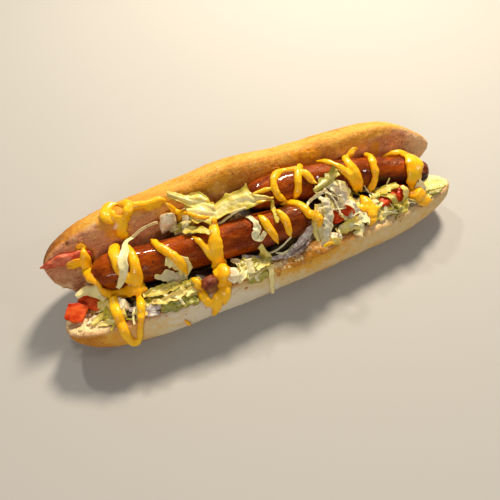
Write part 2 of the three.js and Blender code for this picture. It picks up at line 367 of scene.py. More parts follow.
# the roll: two halves and the fold behind them, made one by a remesh
roll = dict(
    lobeMiddle=24.6, rimReach=20.4, hingeReach=25.4, crown=2.0, leftPower=4, hingePower=12,
    underSquare=2.4, topSquare=3.8, endFill=0.85, tablePress=1.5, grid=(150, 120),
    front=dict(start=-128.8, end=125.2, rightPower=3.2, depth=22, shoulder=4, hump=0, droop=0, phase=0.4),
    back=dict(start=-128.8, end=129.7, rightPower=3.0, depth=28.5, shoulder=8, hump=3.2, droop=13, phase=1.9),
    droopStart=90, waveShift=3.8, humpMiddle=-12, humpReach=24,
    fold=dict(middle=-3.8, length=222, behind=7, halfWidth=20, halfHeight=12, sunk=1, square=2.8,
              endPower=6, grid=(90, 80)),
    voxel=0.9, softening=3,
    # the back half's crust rolls over its rim by this much, deepest in the middle
    rimTop=45, rimBand=5, rimBandMore=8,
    # depths of the unevenness, in millimetres
    dimples=0.5, crumbRelief=0.5, crumbGrain=0.4, toastedLumps=1.7, tornLumps=2.0,
    # patches, as (middle, reach) or as (from, to) of a rise: the toasted lip of the front rim, the lumpy
    # left end, the torn crumb beside it, and the strip of pale crumb along the right of the front half
    lip=dict(out=(42, 4), up=(1, 4), left=(-44, -24), right=(34, 20)),
    lumpyEnd=dict(x=(-117, 6), across=(17, 6)),
    torn=dict(left=(98, 112), up=(24, 8), out=(8, 0)),
    pale=dict(leftEnd=0.9, lip=0.95, torn=0.55, strip=0.95, rightEnd=0.45, low=(8, 2), left=(98, 110),
              stripX=(36, 54), stripEnd=(108, 104), stripOut=(20, 28), right=(104, 120)),
    # how brown the crumb is: painted shade low on the back cut face, along the crease and in the pores, and
    # real toasting on the lip
    brownAndShade=dict(up=(30, 12), out=(6, 1), all=0.35, middle=0.5, lip=0.15, crease=0.8),
    # how dark the oven made each part of the crust
    toast=dict(all=0.02, back=0.33, backRight=0.06, backInner=0.25, backLeft=0.3, leftTip=0.4, rightTip=0.1,
               rim=0.6, frontMiddle=0.42, frontFlour=-0.45, frontLeft=0.35, under=0.3, behind=0.2),
    # x, across, reach, depth
    pores=[(-113, -25, 1.3, 1.2), (-104, -24, 0.9, 0.5), (107, -17, 1.0, 0.9), (112, -16, 1.1, 0.8),
           (98, -24, 0.7, 0.4), (-96, -27, 0.8, 0.4), (90, -20, 0.7, 0.4)],
    # sauce that has soaked in: x, across, reach along, reach across, strength
    soaked=[(14, -23, 12, 4, 0.8), (35, -27, 9, 6, 1.0), (84, -18, 4, 5, 0.9), (95, -25, 4.5, 3, 0.6),
            (72, -24, 10, 3, 0.6), (-86, -26, 8, 9, 0.9), (-66, -33, 14, 4, 0.7), (-56, -26, 9, 6, 0.6),
            (-81, -37, 9, 7, 0.8), (-99, 34, 9, 6, 0.5), (12, 31, 11, 3.4, 0.95), (-107, -16, 6, 6, 0.5),
            (-45, -31, 3, 3, 0.8), (-34, -29, 8, 3.5, 0.9), (-19, -30, 5, 3, 0.8)],
    roughness=0.7, specular=0.25, soft=0.05, softReach=0.004, wetRoughness=0.34, soakedColour="da9014",
    grains=dict(cloud=(20, 3), mottle=(6, 4, 0.6, (0.6, 1, 1)), streak=(2.6, 4, 0.65, (0.75, 1, 1)),
                speckle=(1.3, 4, 0.65), pore=(0.9, 2), dash=(1.7, 3, 0.6, (0.5, 1, 1))),
    # floury where the heat is low, then golden, then brown
    crust=["dfd2b8", ("heat", -0.35, -0.05, "dcc08a"), ("heat", -0.05, 0.35, "dfa53c"),
           ("heat", 0.35, 0.7, "c67e1e"), ("heat", 0.7, 1.2, "83450c"),
           ("speckle", 0.55, 0.72, 0, 0.5, "ecd6a6"), ("browned", "a0601a")],
    crumb=["d08e68", ("golden", "dc9416"), ("cloud", 0.35, 0.65, 0, 0.4, "b8703a"),
           ("mottle", 0.5, 0.72, 0, 0.5, "e2aa62"), ("streak", 0.52, 0.7, 0, 0.6, "ebbd8c"),
           ("dash", 0.56, 0.68, 0, 0.6, "8d4d20"), ("pore", 0.58, 0.7, 0, 0.6, "7a4019"),
           # the last crumb coat lays the brown: painted shade, and toasting on the lip
           ("brownAndShade", 0.1, 1.0, "8a4c12")],
    paleCrumb=["ffecbc", ("speckle", "eabf80")],
    bumps=[("coarse", 0.8, 0.9), ("fine", 0.7, 0.4)],
)


def uneven(x, phase):
    wave = x + roll["waveShift"]
    return 1 + 0.02 * np.sin(wave / 17 + phase) + 0.015 * np.sin(wave / 31 - phase)


def taper(x, length, power):
    return np.sqrt(np.maximum(0, 1 - np.abs(2 * x / length) ** power))


def ballDirections(rings, around):
    steps = np.linspace(0, math.pi, rings + 2)[1:-1][:, None]
    turns = np.linspace(0, 2 * math.pi, around, endpoint=False)[None, :]
    return -np.cos(steps) + 0 * turns, np.cos(turns) + 0 * steps, np.sin(turns) + 0 * steps


def rollHalf(half, place):
    along, across, over = ballDirections(*roll["grid"])
    length = half["end"] - half["start"]
    fromMiddle = along * length / 2
    x = fromMiddle + (half["start"] + half["end"]) / 2
    rimTaper = np.where(fromMiddle < 0, taper(fromMiddle, length, roll["leftPower"]),
                        taper(fromMiddle, length, half["rightPower"]))
    hingeTaper = taper(fromMiddle, length, roll["hingePower"])
    hump = half["hump"] * hill((x + roll["waveShift"], roll["humpMiddle"], roll["humpReach"]))
    rim = roll["rimReach"] * rimTaper + hump
    reach = np.where(across > 0, rim, roll["hingeReach"] * hingeTaper)
    # the ends stay blunt beside the fold
    sideTaper = rimTaper + (hingeTaper - rimTaper) * roll["endFill"] * ease(across, 0.5, -0.6)
    widest = half["shoulder"] * sideTaper ** 0.8
    crown = widest + roll["crown"] * sideTaper ** 0.2
    height = np.where(over < 0, (half["depth"] - half["shoulder"]) * sideTaper ** 0.8, crown)
    power = 2 / np.where(over < 0, roll["underSquare"], roll["topSquare"])
    pastDroop = np.maximum(0, x - roll["droopStart"]) / (half["end"] - roll["droopStart"])
    lowered = half["droop"] * pastDroop ** 2
    offset = signedPower(across, power) * reach * uneven(x, half["phase"])
    outward = roll["lobeMiddle"] + offset - lowered * (1 + offset / roll["rimReach"]) / 2
    bulge = np.where(over < 0, uneven(x, half["phase"] + 2), 1)
    return loft(place(x, outward, signedPower(over, power) * height * bulge - widest))


def rollFold():
    fold = roll["fold"]
    along, across, over = ballDirections(*fold["grid"])
    x = along * fold["length"] / 2
    size, power = taper(x, fold["length"], fold["endPower"]), 2 / fold["square"]
    y = tray["creaseY"] + fold["behind"] + signedPower(across, power) * fold["halfWidth"] * size
    z = fold["halfHeight"] * (1 + signedPower(over, power) * size) - fold["sunk"]
    rings = np.stack([x + fold["middle"], y, z], axis=-1)
    _, out, up = inTray(rings.reshape(-1, 3))
    excess = np.where((out > 0) & (up > 0), np.minimum(out, up), 0)  # kept out of the opening
    shove = np.where((out < up)[:, None], -outAxis, -upAxis) * excess[:, None]
    return loft(rings + shove.reshape(rings.shape))


def breadFinish():
    finish, tree, shader, drivers = startFinish("bread", roll)
    cloud, mottle, streak, speckle, pore, _ = drivers.values()
    heat = calc(tree, "ADD", mark(tree, "toast"), swing(tree, mottle, 0.7))
    heat = calc(tree, "ADD", heat, calc(tree, "ADD", swing(tree, cloud, 0.5), swing(tree, streak, 0.8)))
    stain = mark(tree, "soaked")
    drivers.update(
        heat=heat,
        browned=calc(tree, "MULTIPLY", span(tree, pore, 0.56, 0.7), span(tree, heat, 0.1, 0.9, 0.1, 0.7)),
        coarse=calc(tree, "ADD", mottle, calc(tree, "MULTIPLY", streak, 0.6)),
        fine=calc(tree, "ADD", speckle, pore))
    crust, crumb, pale = (paintCoats(tree, drivers, roll[key]) for key in ("crust", "crumb", "paleCrumb"))
    colour = blend(tree, mark(tree, "crumb"), crust, blend(tree, mark(tree, "pale"), crumb, pale))
    colour = blend(tree, calc(tree, "MULTIPLY", stain, 0.9), colour, tint(roll["soakedColour"]))
    feed(tree, colour, shader.inputs["Base Color"])
    feed(tree, span(tree, stain, 0.1, 1.0, 0.72, roll["wetRoughness"]), shader.inputs["Roughness"])
    feed(tree, raiseBumps(tree, drivers, roll["bumps"]), shader.inputs["Normal"])
    return finish


def crumbShare(x, out, up, normals, wobble):
    # 1 on the open crumb of the cut faces, 0 on the crust
    facesUp, facesOut = normals @ upAxis + 0.15 * wobble, normals @ outAxis + 0.15 * wobble
    frontCrumb = ease(facesUp, 0.6, 0.9) * ease(up, -3, -0.5) * ease(out, -2, 1)
    band = roll["rimBand"] + roll["rimBandMore"] * hill((x, 25, 68)) + 3 * wobble
    facesOut += 0.25 * ease(-x, 80, 105)
    backCrumb = ease(facesOut, 0.6, 0.9) * ease(out, -3, -0.5) * ease(up, -2, 1)
    return np.maximum(frontCrumb, backCrumb * ease(roll["rimTop"] - up - band, -3, 3))


def soakedShare(x, across, normals, wobble):
    soaked = np.zeros(len(x))
    for sx, sa, reachX, reachA, strength in roll["soaked"]:
        away = ((x - sx) / reachX) ** 2 + ((across - sa) / reachA) ** 2
        soaked = np.maximum(soaked, strength * (1 - ease(away + wobble * 0.8, 0.5, 1.3)))
    return soaked * ease(normals @ pourAxis, -0.2, 0.3)


def toastShare(x, out, up, normals, crumb, toasted):
    toast = roll["toast"]
    backCrust = ease(up, 10, 28) * (1 - crumb)
    inner = ease(normals @ outAxis, 0.1, 0.6) * hill((x, 5, 60))
    leftTip, rightTip = ease(-x, 92, 122), ease(x, 95, 124)
    front, upper = ease(out, 22, 36) * ease(up, 6, -2), ease(up, -14, -2)
    share = toast["all"] + backCrust * (toast["back"] + toast["backRight"] * ease(x, -10, 60)
                                        + toast["backInner"] * inner + toast["backLeft"] * leftTip)
    share += toast["leftTip"] * leftTip + toast["rightTip"] * rightTip + toast["rim"] * toasted
    share += front * (toast["frontMiddle"] * upper * hill((x, 2, 26))
                      + toast["frontFlour"] * hill((x, -44, 36)) + toast["frontLeft"] * leftTip)
    facesDown, facesBack = ease(normals[:, 2], -0.1, -0.7), ease(normals[:, 1], 0.2, 0.9)
    share += toast["under"] * facesDown + toast["behind"] * facesBack
    return share


def brownAndShadeShare(x, out, up, crumb, toasted, pores):
    brownAndShade = roll["brownAndShade"]
    # painted shade low on the back cut face near the filling, deepest in the middle
    low = ease(up, *brownAndShade["up"]) * ease(out, *brownAndShade["out"])
    share = np.maximum(low * (brownAndShade["all"] + brownAndShade["middle"] * hill((x, 5, 60))), brownAndShade["lip"] * toasted)
    # painted shade along the crease and, below, in the pores
    share = np.maximum(share * crumb, brownAndShade["crease"] * np.exp(-((out - 2) ** 2 + (up - 2) ** 2) / 60))
    for depth, near in pores:
        share = np.maximum(share, crumb * min(1, depth) * near)
    return share


def paleShare(points, x, out, up, crumb, toasted, torn):
    pale = roll["pale"]
    low = ease(up, *pale["low"])
    share = pale["leftEnd"] * crumb * ease(-x, *pale["left"]) * ease(out, 0, 12) * low
    share += pale["lip"] * toasted * crumb * ease(ripple(points, 4, 3, 15), -0.25, 0.1)
    share += pale["torn"] * torn * ease(ripple(points, 5, 3, 12), -0.1, 0.25)
    share += (pale["strip"] * crumb * ease(x, *pale["stripX"]) * low * ease(out, *pale["stripOut"])
              * ease(x, *pale["stripEnd"]))
    return share + crumb * ease(x, *pale["right"]) * pale["rightEnd"] * (1 + low)


def makeRoll():
    lobes = [
        rollHalf(roll["front"], at),
        rollHalf(roll["back"], lambda x, outward, height: at(x, height, outward)),
        rollFold(),
    ]
    points, faces, _ = gather([(p, f, {}) for p, f in lobes])
    points[:, 2] = np.maximum(points[:, 2], -roll["tablePress"])
    bread = newPiece("bread_roll", points, faces, breadFinish())
    remesh(bread, roll["voxel"], roll["softening"])
    mesh = bread.data
    points, normals = pointsOf(mesh), normalsOf(mesh)
    x, out, up = inTray(points)
    across = (out - up) / math.sqrt(2)
    wobble = ripple(points, 7, 3, 5)
    crumb = crumbShare(x, out, up, normals, wobble)
    pores = [(depth, np.exp(-((x - px) ** 2 + (across - pa) ** 2) / reach ** 2))
             for px, pa, reach, depth in roll["pores"]]
    lip, end, tear = roll["lip"], roll["lumpyEnd"], roll["torn"]
    toasted = hill((out, *lip["out"]), (up, *lip["up"])) * ease(x, *lip["left"]) * ease(x, *lip["right"])
    lumpy = hill((x, *end["x"]), (across, *end["across"])) * ease(normals @ pourAxis, 0, 0.4)
    torn = crumb * ease(-x, *tear["left"]) * ease(up, *tear["up"]) * ease(out, *tear["out"])
    dents = ripple(points, 24, 2, 1) * roll["dimples"] * (1 - crumb)
    dents += ripple(points, 5, 3, 2) * roll["crumbRelief"] * (0.35 + 0.65 * crumb)
    dents += ripple(points * np.array([0.8, 1, 1]), 2.6, 3, 8) * roll["crumbGrain"] * crumb
    dents += ripple(points, 3.2, 3, 6) * (roll["toastedLumps"] * toasted + roll["tornLumps"] * (lumpy + torn))
    for depth, share in pores:
        dents -= depth * crumb * share
    points = points + normals * dents[:, None]
    points[:, 2] = np.maximum(points[:, 2], 0)
    movePoints(mesh, points)
    markMesh(mesh, dict(
        crumb=crumb, toast=toastShare(x, out, up, normals, crumb, toasted),
        soaked=soakedShare(x, across, normals, wobble), golden=hill((x, 5, 62)),
        brownAndShade=brownAndShadeShare(x, out, up, crumb, toasted, pores),
        pale=paleShare(points, x, out, up, crumb, toasted, torn)))
    return settle(bread, "bread", "bun")


bread = makeRoll()
print("roll", len(bread.data.polygons))

# the sausages: a route is places in the tray; the grill band and the painted shade at one end start and are
# full at some x
sausages = dict(
    merguez_front=dict(
        node="sausage_front", radius=10.6, phase=0.6, seed=11, paintedShadeEnd=(-16, 6),
        route=[(-106.8, 11.2, 20.2), (-100.8, 12.9, 18.6), (-77.4, 16.8, 16.5), (-49, 20.8, 16.3),
               (-26.8, 24, 16.3), (0.3, 29.3, 17), (10.2, 31.2, 17.6), (17.7, 32.6, 18)]),
    merguez_back=dict(
        node="sausage_back", radius=10, phase=2.4, seed=23, grillBand=(60, 70), paintedShadeEnd=(92, 104),
        route=[(-12.8, 12.8, 31), (1.8, 12.9, 30.5), (16.2, 12.9, 29.2), (41.2, 12.9, 26), (58.9, 13.6, 22.8),
               (76.2, 16.2, 19.4), (87.2, 21, 17.2), (97.7, 27, 16), (103.7, 30.8, 15.8)]),
)
casing = dict(
    around=72, spacing=1.0, lumps=0.25, wrinkles=0.22, pleats=9, pleatDepth=0.35, narrowing=0.06,
    # the casing darkens with real char at its ends, in blotches and in the grill band, and with painted shade
    # on its underside and at one end
    charAndShade=dict(under=0.7, ends=0.2, blotches=0.4, grill=1.3, paintedShadeEnd=0.4, tip=0.6, most=0.95),
    roughness=0.4, coat=0.32, coatRoughness=0.06, specular=0.13, specularTint=(1, 0.72, 0.42, 1),
    grains=dict(blotch=(13, 3, 0.6, (0.45, 1, 1)), streak=(3.2, 3, 0.6, (0.3, 1, 1)), fleck=(1.6, 3, 0.6),
                pit=(1.0, 2), burn=(2.4, 2), fat=(3.0, 0, 0.5, (0.6, 1, 1))),
    coats=["702400", ("blotch", 0.35, 0.68, "a84600"), ("streak", 0.5, 0.75, 0, 0.6, "bc5e06"),
           ("fleck", 0.58, 0.75, 0, 0.5, "cc7220"), ("burn", 0.62, 0.72, 0, 0.7, "3a1202"),
           # the last coat lays the char together with the painted shade
           ("charredAndShaded", "220a02")],
    bumps=[("streak", 0.6, 0.8), ("fine", 0.7, 0.3)], fatBumps=[("fat", 0.4, 0.4)],
)


def merguezFinish():
    finish, tree, shader, drivers = startFinish("grilled_merguez", casing)
    drivers["fine"] = calc(tree, "ADD", drivers["fleck"], drivers["pit"])
    feed(tree, paintCoats(tree, drivers, casing["coats"]), shader.inputs["Base Color"])
    feed(tree, span(tree, drivers["fleck"], 0.35, 0.7, 0.2, 0.5), shader.inputs["Roughness"])
    feed(tree, raiseBumps(tree, drivers, casing["bumps"]), shader.inputs["Normal"])
    feed(tree, raiseBumps(tree, drivers, casing["fatBumps"]), shader.inputs["Coat Normal"])
    return finish


def makeSausage(name, finish):
    spec = sausages[name]
    line = spline([at(*place) for place in spec["route"]], casing["spacing"])
    count, around = len(line), casing["around"]
    share = np.linspace(0, 1, count)
    fromMiddle = np.abs(2 * share - 1)
    tangent = unit(np.gradient(line, axis=0))
    sideways = unit(np.cross([0, 0, 1.0], tangent))
    upward = np.cross(tangent, sideways)
    girth = (1 - np.minimum(1, fromMiddle) ** 10) ** 0.45 * (1 - casing["narrowing"] * share)
    girth = np.maximum(girth, 0.02)
    waist = 1 + 0.018 * np.sin(11 * share + spec["phase"]) + 0.012 * np.sin(29 * share - spec["phase"])
    turns = np.linspace(0, 2 * math.pi, around, endpoint=False)
    across, over = np.cos(turns), np.sin(turns)
    direction = sideways[:, None] * across[None, :, None] + upward[:, None] * over[None, :, None]
    skin = line[:, None] + direction * (spec["radius"] * girth * waist)[:, None, None]
    flat = skin.reshape(-1, 3)
    ends = np.repeat(ease(fromMiddle, 0.86, 0.98), around)
    bumps = ripple(flat, 9, 2, spec["seed"]) * casing["lumps"]
    bumps += ripple(flat * np.array([0.35, 1, 1]), 2.6, 2, spec["seed"] + 3) * casing["wrinkles"]
    pleats = np.sin(np.tile(turns, count) * casing["pleats"] + spec["seed"]) * casing["pleatDepth"] * ends
    flat = flat + direction.reshape(-1, 3) * (bumps + pleats)[:, None]
    points, faces = loft(flat.reshape(skin.shape))
    charAndShade, x = casing["charAndShade"], flat[:, 0]
    below, inFront = -np.tile(over, count), -np.tile(across, count)
    # painted shade: the underside is darkened where shadow falls, plus real char at the ends
    charredAndShaded = ease(below, 0.05, 0.9) * charAndShade["under"] + ends * charAndShade["ends"]
    charredAndShaded += charAndShade["blotches"] * ease(ripple(flat, 11, 2, spec["seed"] + 6), 0.25, 0.6)
    if "grillBand" in spec:
        frontSide = hill((below, -0.12, 0.42)) * (inFront > 0)
        charredAndShaded += charAndShade["grill"] * frontSide * ease(x, *spec["grillBand"])
    # painted shade: the end that lies in shadow is darkened
    charredAndShaded += charAndShade["paintedShadeEnd"] * ease(x, *spec["paintedShadeEnd"])
    charredAndShaded = np.append(np.clip(charredAndShaded, 0, charAndShade["most"]), [charAndShade["tip"]] * 2)
    return settle(newPiece(name, points, faces, finish, dict(charredAndShaded=charredAndShaded)), "merguez", spec["node"])


merguez = merguezFinish()
sausageFront, sausageBack = (makeSausage(name, merguez) for name in sausages)
print("sausages", len(sausageFront.data.polygons))

# Thin sheets: what lies on top smooths out what is closer together than soften, and a standing leaf is
# kept leastGap off whatever is within gapReach of it.
sheetRule = dict(soften=1.6, thickness=0.5, laidCell=0.7, standingCell=0.7, standingThickness=0.45,
                 leastGap=0.6, gapReach=6)


def pourHeights(tree, plan):
    # how high the first surface met by a straight pour stands, for places (x, across)
    fallen = [pour(tree, x, across)[3] for x, across in plan]
    return np.array([np.nan if far is None else tray["pourFrom"] - far for far in fallen])


def rest(heights, plan, slack):
    # what lies on those heights hangs across gaps, no steeper than slack
    apart = np.linalg.norm(plan[:, None] - plan[None], axis=2)
    known = ~np.isnan(heights)
    held = (heights[known][None] - slack * apart[:, known]).max(axis=1)
    kernel = hill((apart, 0, sheetRule["soften"]))
    smooth = (kernel @ held) / kernel.sum(axis=1)
    return np.where(known, np.maximum(smooth, np.nan_to_num(heights)), smooth)


def fromPlan(plan, heights):
    return (crease + plan[:, :1] * np.array([1.0, 0, 0]) + plan[:, 1:2] * acrossAxis
            + np.asarray(heights)[:, None] * pourAxis)


def gridFaces(rows, columns, keep=None):
    return [(i * columns + j, i * columns + j + 1, (i + 1) * columns + j + 1, (i + 1) * columns + j)
            for i in range(rows - 1) for j in range(columns - 1) if keep is None or keep[i, j]]


def laySheet(tree, route, green=0.3, rib=0.0, lift=0.6, slack=1.2, cup=0.0, tilt=0.0, ruffle=0.5,
             crinkle=0.35, jag=0.16, seed=0, cell=sheetRule["laidCell"], over=None):
    # a piece of leaf along a route of (x, across, width); over is what it may not lie on
    line = spline(route, cell)
    tangent = unit(np.gradient(line[:, :2], axis=0))
    side = np.stack([-tangent[:, 1], tangent[:, 0]], axis=1)
    rows, columns = len(line), max(5, int(line[:, 2].max() / cell) + 2)
    v = np.linspace(-1, 1, columns)[None]
    u = np.linspace(0, 1, rows)[:, None]
    jags = np.array([[noise.noise((i * cell / 2.1, k * 5.7, seed * 1.37)) for k in (0, 1)]
                     for i in range(rows)])
    spread = 1 + jag * 2 * np.where(v < 0, jags[:, :1], jags[:, 1:])
    plan = line[:, None, :2] + side[:, None] * (v * spread * line[:, 2:3] / 2)[..., None]
    flat = plan.reshape(-1, 2)
    bare = pourHeights(tree, flat)
    if np.isnan(bare).all():
        return None
    if over is not None:
        covered = pourHeights(over, flat)
        if np.mean(np.nan_to_num(covered, nan=-99) > np.nan_to_num(bare, nan=-99) - 0.3) > 0.2:
            return None
    heights = rest(bare, flat, slack).reshape(rows, columns)
    half = line[:, 2:3] / 2
    wave = np.sin(u * len(line) * cell / 1.5 + 2 * np.sin(u * 6 + seed) + (v > 0) * 2.1)
    wrinkles = np.array([noise.fractal(Vector((x / 2.6, across / 2.6, seed * 2.3)), 0.8, 2.0, 2)
                         for x, across in flat]).reshape(rows, columns)
    heights = (heights + lift + cup * v ** 2 * half + tilt * (v + np.sign(tilt)) * half
               + ruffle * v ** 2 * wave + crinkle * wrinkles)
    branch = np.mod(u * rows * cell / 3.4 + np.abs(v) * 0.8, 1)
    veins = np.maximum(hill((v, 0, 0.16)), 0.7 * hill((branch, 0.5, 0.1)))
    veins = veins * (0.35 if half.max() > 1.8 else 0)  # narrow strips have none
    shade = green + 0.25 * v ** 2 + 0.15 * wrinkles
    marks = dict(green=shade.ravel(), rib=np.maximum(rib, veins).ravel())
    return fromPlan(flat, heights.ravel()), gridFaces(rows, columns), marks


# chopped lettuce: a core painted dark as shade, with bits and strings scattered over it
lettuce = dict(
    coreShrink=1.2, coreVoxel=1.1, coreBumps=0.9, seed=5, thickness=0.55, bits=300, strings=110,
    stringLength=(8, 20), stringWidth=(0.8, 1.8), bitLength=(5, 12), bitWidth=(2.6, 6),
    greens=[-0.3, -0.1, 0.1, 0.2, 0.35, 0.5, 0.8], ribs=[1.0, 0.7, 0, 0], turn=0.9, bend=0.6, cell=0.8,
    # each bit's own lift, slack and so on lies between these
    between=dict(lift=(0.3, 2.0), slack=(0.4, 1.0), cup=(-0.45, 0.6), tilt=(-0.7, 0.7), ruffle=(0.2, 0.8)),
    # more bits here: x, across, spread, how many, how green
    tufts=[(-104, 17, 4, 4, 0.6), (-26, 24, 6, 14, 0.3), (70, 18, 6, 12, 0.6), (72, 24, 6, 8, 0.35),
           (102, 19, 5, 5, 0.35), (-46, -15, 6, 6, 0.3)],
    # kept clear of bits: from x, to x, from across, to across
    clear=[(-88, -56, 14, 34), (-14, 14, 14, 40), (14, 44, -6, 25), (-60, -40, 14, 40), (-140, -106, -40, 40),
           (100, 140, -40, 40), (58, 140, 25.5, 40)],
    roughness=0.4, soft=0.15, softReach=0.003, coat=0.1, coatRoughness=0.25,
    grains=dict(cloud=(6, 3), fibre=(1.0, 3, 0.6)), swung=dict(green=("cloud", 0.7)),
    coats=["c6bba4", ("green", -0.45, 0.0, "ecd680"), ("green", 0.05, 0.5, "d9bd42"),
           ("green", 0.45, 0.85, "a49a22"), ("green", 0.85, 1.25, "6a7412"), ("rib", "f0e2b0"),
           ("fibre", 0.5, 0.8, 0, 0.35, "b0952f")],
    bumps=[("cloud", 0.4, 0.8), ("fibre", 0.35, 0.3)],
)
# the core's finish is painted shade: dark browns that stand for the shadow deep in the heap
lettucePaintedShade = dict(
    roughness=0.55, grains=dict(patch=(5, 3), fine=(1.4, 3)), bumps=[("fine", 0.6, 0.8)],
    coats=["32260e", ("patch", 0.35, 0.7, "74592a"), ("fine", 0.5, 0.8, 0, 0.6, "281c0c")],
)


def sheetPiece(name, sheets, finish, slot, thickness=sheetRule["thickness"], nodes=()):
    points, faces, marks = gather([sheet for sheet in sheets if sheet is not None])
    made = newPiece(name, points, faces, finish, marks)
    body = made.modifiers.new("body", "SOLIDIFY")
    body.thickness = thickness * mm
    body.offset = 0
    addRounding(made, 1)
    applyModifiers(made)
    return settle(made, slot, *nodes)


def makeCore(finish):
    core = copyOfNode("lettuce_bed", "lettuce_core", finish)
    remesh(core, lettuce["coreVoxel"], 2)
    points, normals = pointsOf(core.data), normalsOf(core.data)
    grown = ripple(points, 4, 2, 9) * lettuce["coreBumps"] - lettuce["coreShrink"]
    movePoints(core.data, points + normals * grown[:, None])
    return settle(core, "lettuce", "lettuce_bed")


def bedSpots(rng, count):
    # places spread evenly over what shows of the heap
    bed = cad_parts["lettuce_bed"].data
    bed.calc_loop_triangles()
    corners = pointsOf(bed)[[list(t.vertices) for t in bed.loop_triangles]]
    crossed = np.cross(corners[:, 1] - corners[:, 0], corners[:, 2] - corners[:, 0])
    shown = np.maximum(0, unit(crossed) @ pourAxis - 0.25) * np.linalg.norm(crossed, axis=1)
    spots = []
    for face in rng.choices(range(len(corners)), shown.tolist(), k=count):
        a, b = sorted((rng.random(), rng.random()))
        x, out, up = inTray((corners[face].T @ np.array([a, b - a, 1 - b]))[None])
        spots.append((x[0], (out[0] - up[0]) / math.sqrt(2)))
    return spots


def makeBits(tree, sausagesOnly, finish):
    rng = random.Random(lettuce["seed"])
    spots = [(x, across, rng.choice(lettuce["greens"])) for x, across in bedSpots(rng, lettuce["bits"])]
    for x, across, spread, count, green in lettuce["tufts"]:
        spots += [(rng.gauss(x, spread), rng.gauss(across, spread * 0.4), green + rng.uniform(-0.4, 0.35))
                  for _ in range(count)]
    spots = [(x, across, green) for x, across, green in spots
             if not any(x0 < x < x1 and a0 < across < a1 for x0, x1, a0, a1 in lettuce["clear"])]
    sheets = []
    for number, (x, across, green) in enumerate(spots):
        kind = "string" if number < lettuce["strings"] else "bit"
        length = rng.uniform(*lettuce[kind + "Length"])
        width = rng.uniform(*lettuce[kind + "Width"])
        angle, bend = rng.gauss(0, lettuce["turn"]), rng.gauss(0, lettuce["bend"])
        route = []
        for t in (-0.5, -0.17, 0.17, 0.5):
            turned = angle + bend * t
            route.append((x + length * t * math.cos(turned), across + length * t * math.sin(turned),
                          width * (1.0 if abs(t) < 0.3 else rng.uniform(0.6, 1.15))))
        rib = rng.choice(lettuce["ribs"]) if green < 0.5 else 0
        drawn = {key: rng.uniform(*limits) for key, limits in lettuce["between"].items()}
        sheets.append(laySheet(tree, route, green=green, rib=rib, crinkle=0.8, jag=0.3, seed=number,
                               cell=lettuce["cell"], over=sausagesOnly, **drawn))
    return sheetPiece("lettuce_bits", sheets, finish, "lettuce", lettuce["thickness"], ["lettuce_bed"])


lettuceGreen = makeFinish("lettuce", lettuce)
core = makeCore(makeFinish("lettuce_painted_shade", lettucePaintedShade))
bits = makeBits(searchTree(bread, core, sausageFront, sausageBack), searchTree(sausageFront, sausageBack),
                lettuceGreen)
print("lettuce", len(bits.data.polygons))

# the leaves that stand up: near and far are a leaf's two long edges, as places in the tray
standing = dict(
    leaf_1=[
        dict(near=[(-36, 22, 29.5), (-31.5, 22, 31), (-26.5, 22, 31.5), (-22.5, 23.5, 32), (-17.5, 25, 32),
                   (-12.5, 25, 32), (-8, 25, 32.5), (-3, 26, 32.5)],
             far=[(-35.5, 12, 34), (-31, 12, 35), (-26, 12.5, 37), (-20.5, 14, 39), (-14, 17, 40.5),
                  (-12, 20, 38), (-9, 23, 37), (-5.5, 24, 35.5), (-2.5, 25.5, 33.5)],
             green=0.32, jag=0.04, ruffle=0.3, folds=0.35, spikes=[(0.30, 0.22, 0.02), (0.62, 0.5, 0.024)]),
        dict(near=[(-47.5, 18, 32), (-44, 20, 31), (-39, 21, 29), (-34, 22, 29.5)],
             far=[(-48, 9, 38), (-43, 9, 39.5), (-37, 11, 38.5), (-32.5, 14, 36)],
             green=0.2, jag=0.12, ruffle=0.9, folds=0.5),
    ],
    leaf_2=[
        dict(near=[(-55, 6, 45), (-49, 9, 40.5), (-44, 12, 36.5), (-39, 14, 34), (-35, 15, 33.5)],
             far=[(-54.5, 4, 48), (-47.5, 5, 44.5), (-42.5, 6, 42.5), (-37.5, 7, 42.5), (-34.5, 9, 39.5),
                  (-34.5, 10, 37)], green=0.35, jag=0.1, ruffle=0.6, folds=0.5),
    ],
    leaf_6=[
        dict(near=[(23, 29, 28.5), (28, 29, 28.5), (33.5, 28, 29), (38.5, 27, 31), (42, 25, 32.5)],
             far=[(22, 28, 32), (26.5, 27, 33.5), (32.5, 25, 35), (37, 24, 36), (42, 23, 36)],
             green=0.75, jag=0.4, ruffle=1.3, folds=0.4),
        dict(near=[(26.5, 30, 29.5), (28, 32, 25.5), (29, 36, 20), (31.5, 38, 16), (35, 40, 11)],
             far=[(39.5, 26, 30.5), (43.5, 26, 28.5), (47.5, 27, 21.5), (46, 32, 15), (43, 38, 8)],
             green=-0.3, jag=0.14, ruffle=0.9, folds=0.8,
             holes=[(0.1, 0.2, 0.1, 0.14), (0.32, 0.3, 0.1, 0.13), (0.62, 0.2, 0.05, 0.1)]),
    ],
    leaf_5=[
        dict(near=[(17.5, 37, 27), (14.5, 40, 23.5), (12, 42, 19), (11.5, 44, 13.5), (12, 46, 9)],
             far=[(25, 38, 26), (24, 41, 20.5), (23, 43, 16.5), (22, 44.5, 13.5), (19.5, 46, 9)],
             green=0.05, jag=0.16, ruffle=1.0, folds=0.8),
    ],
)


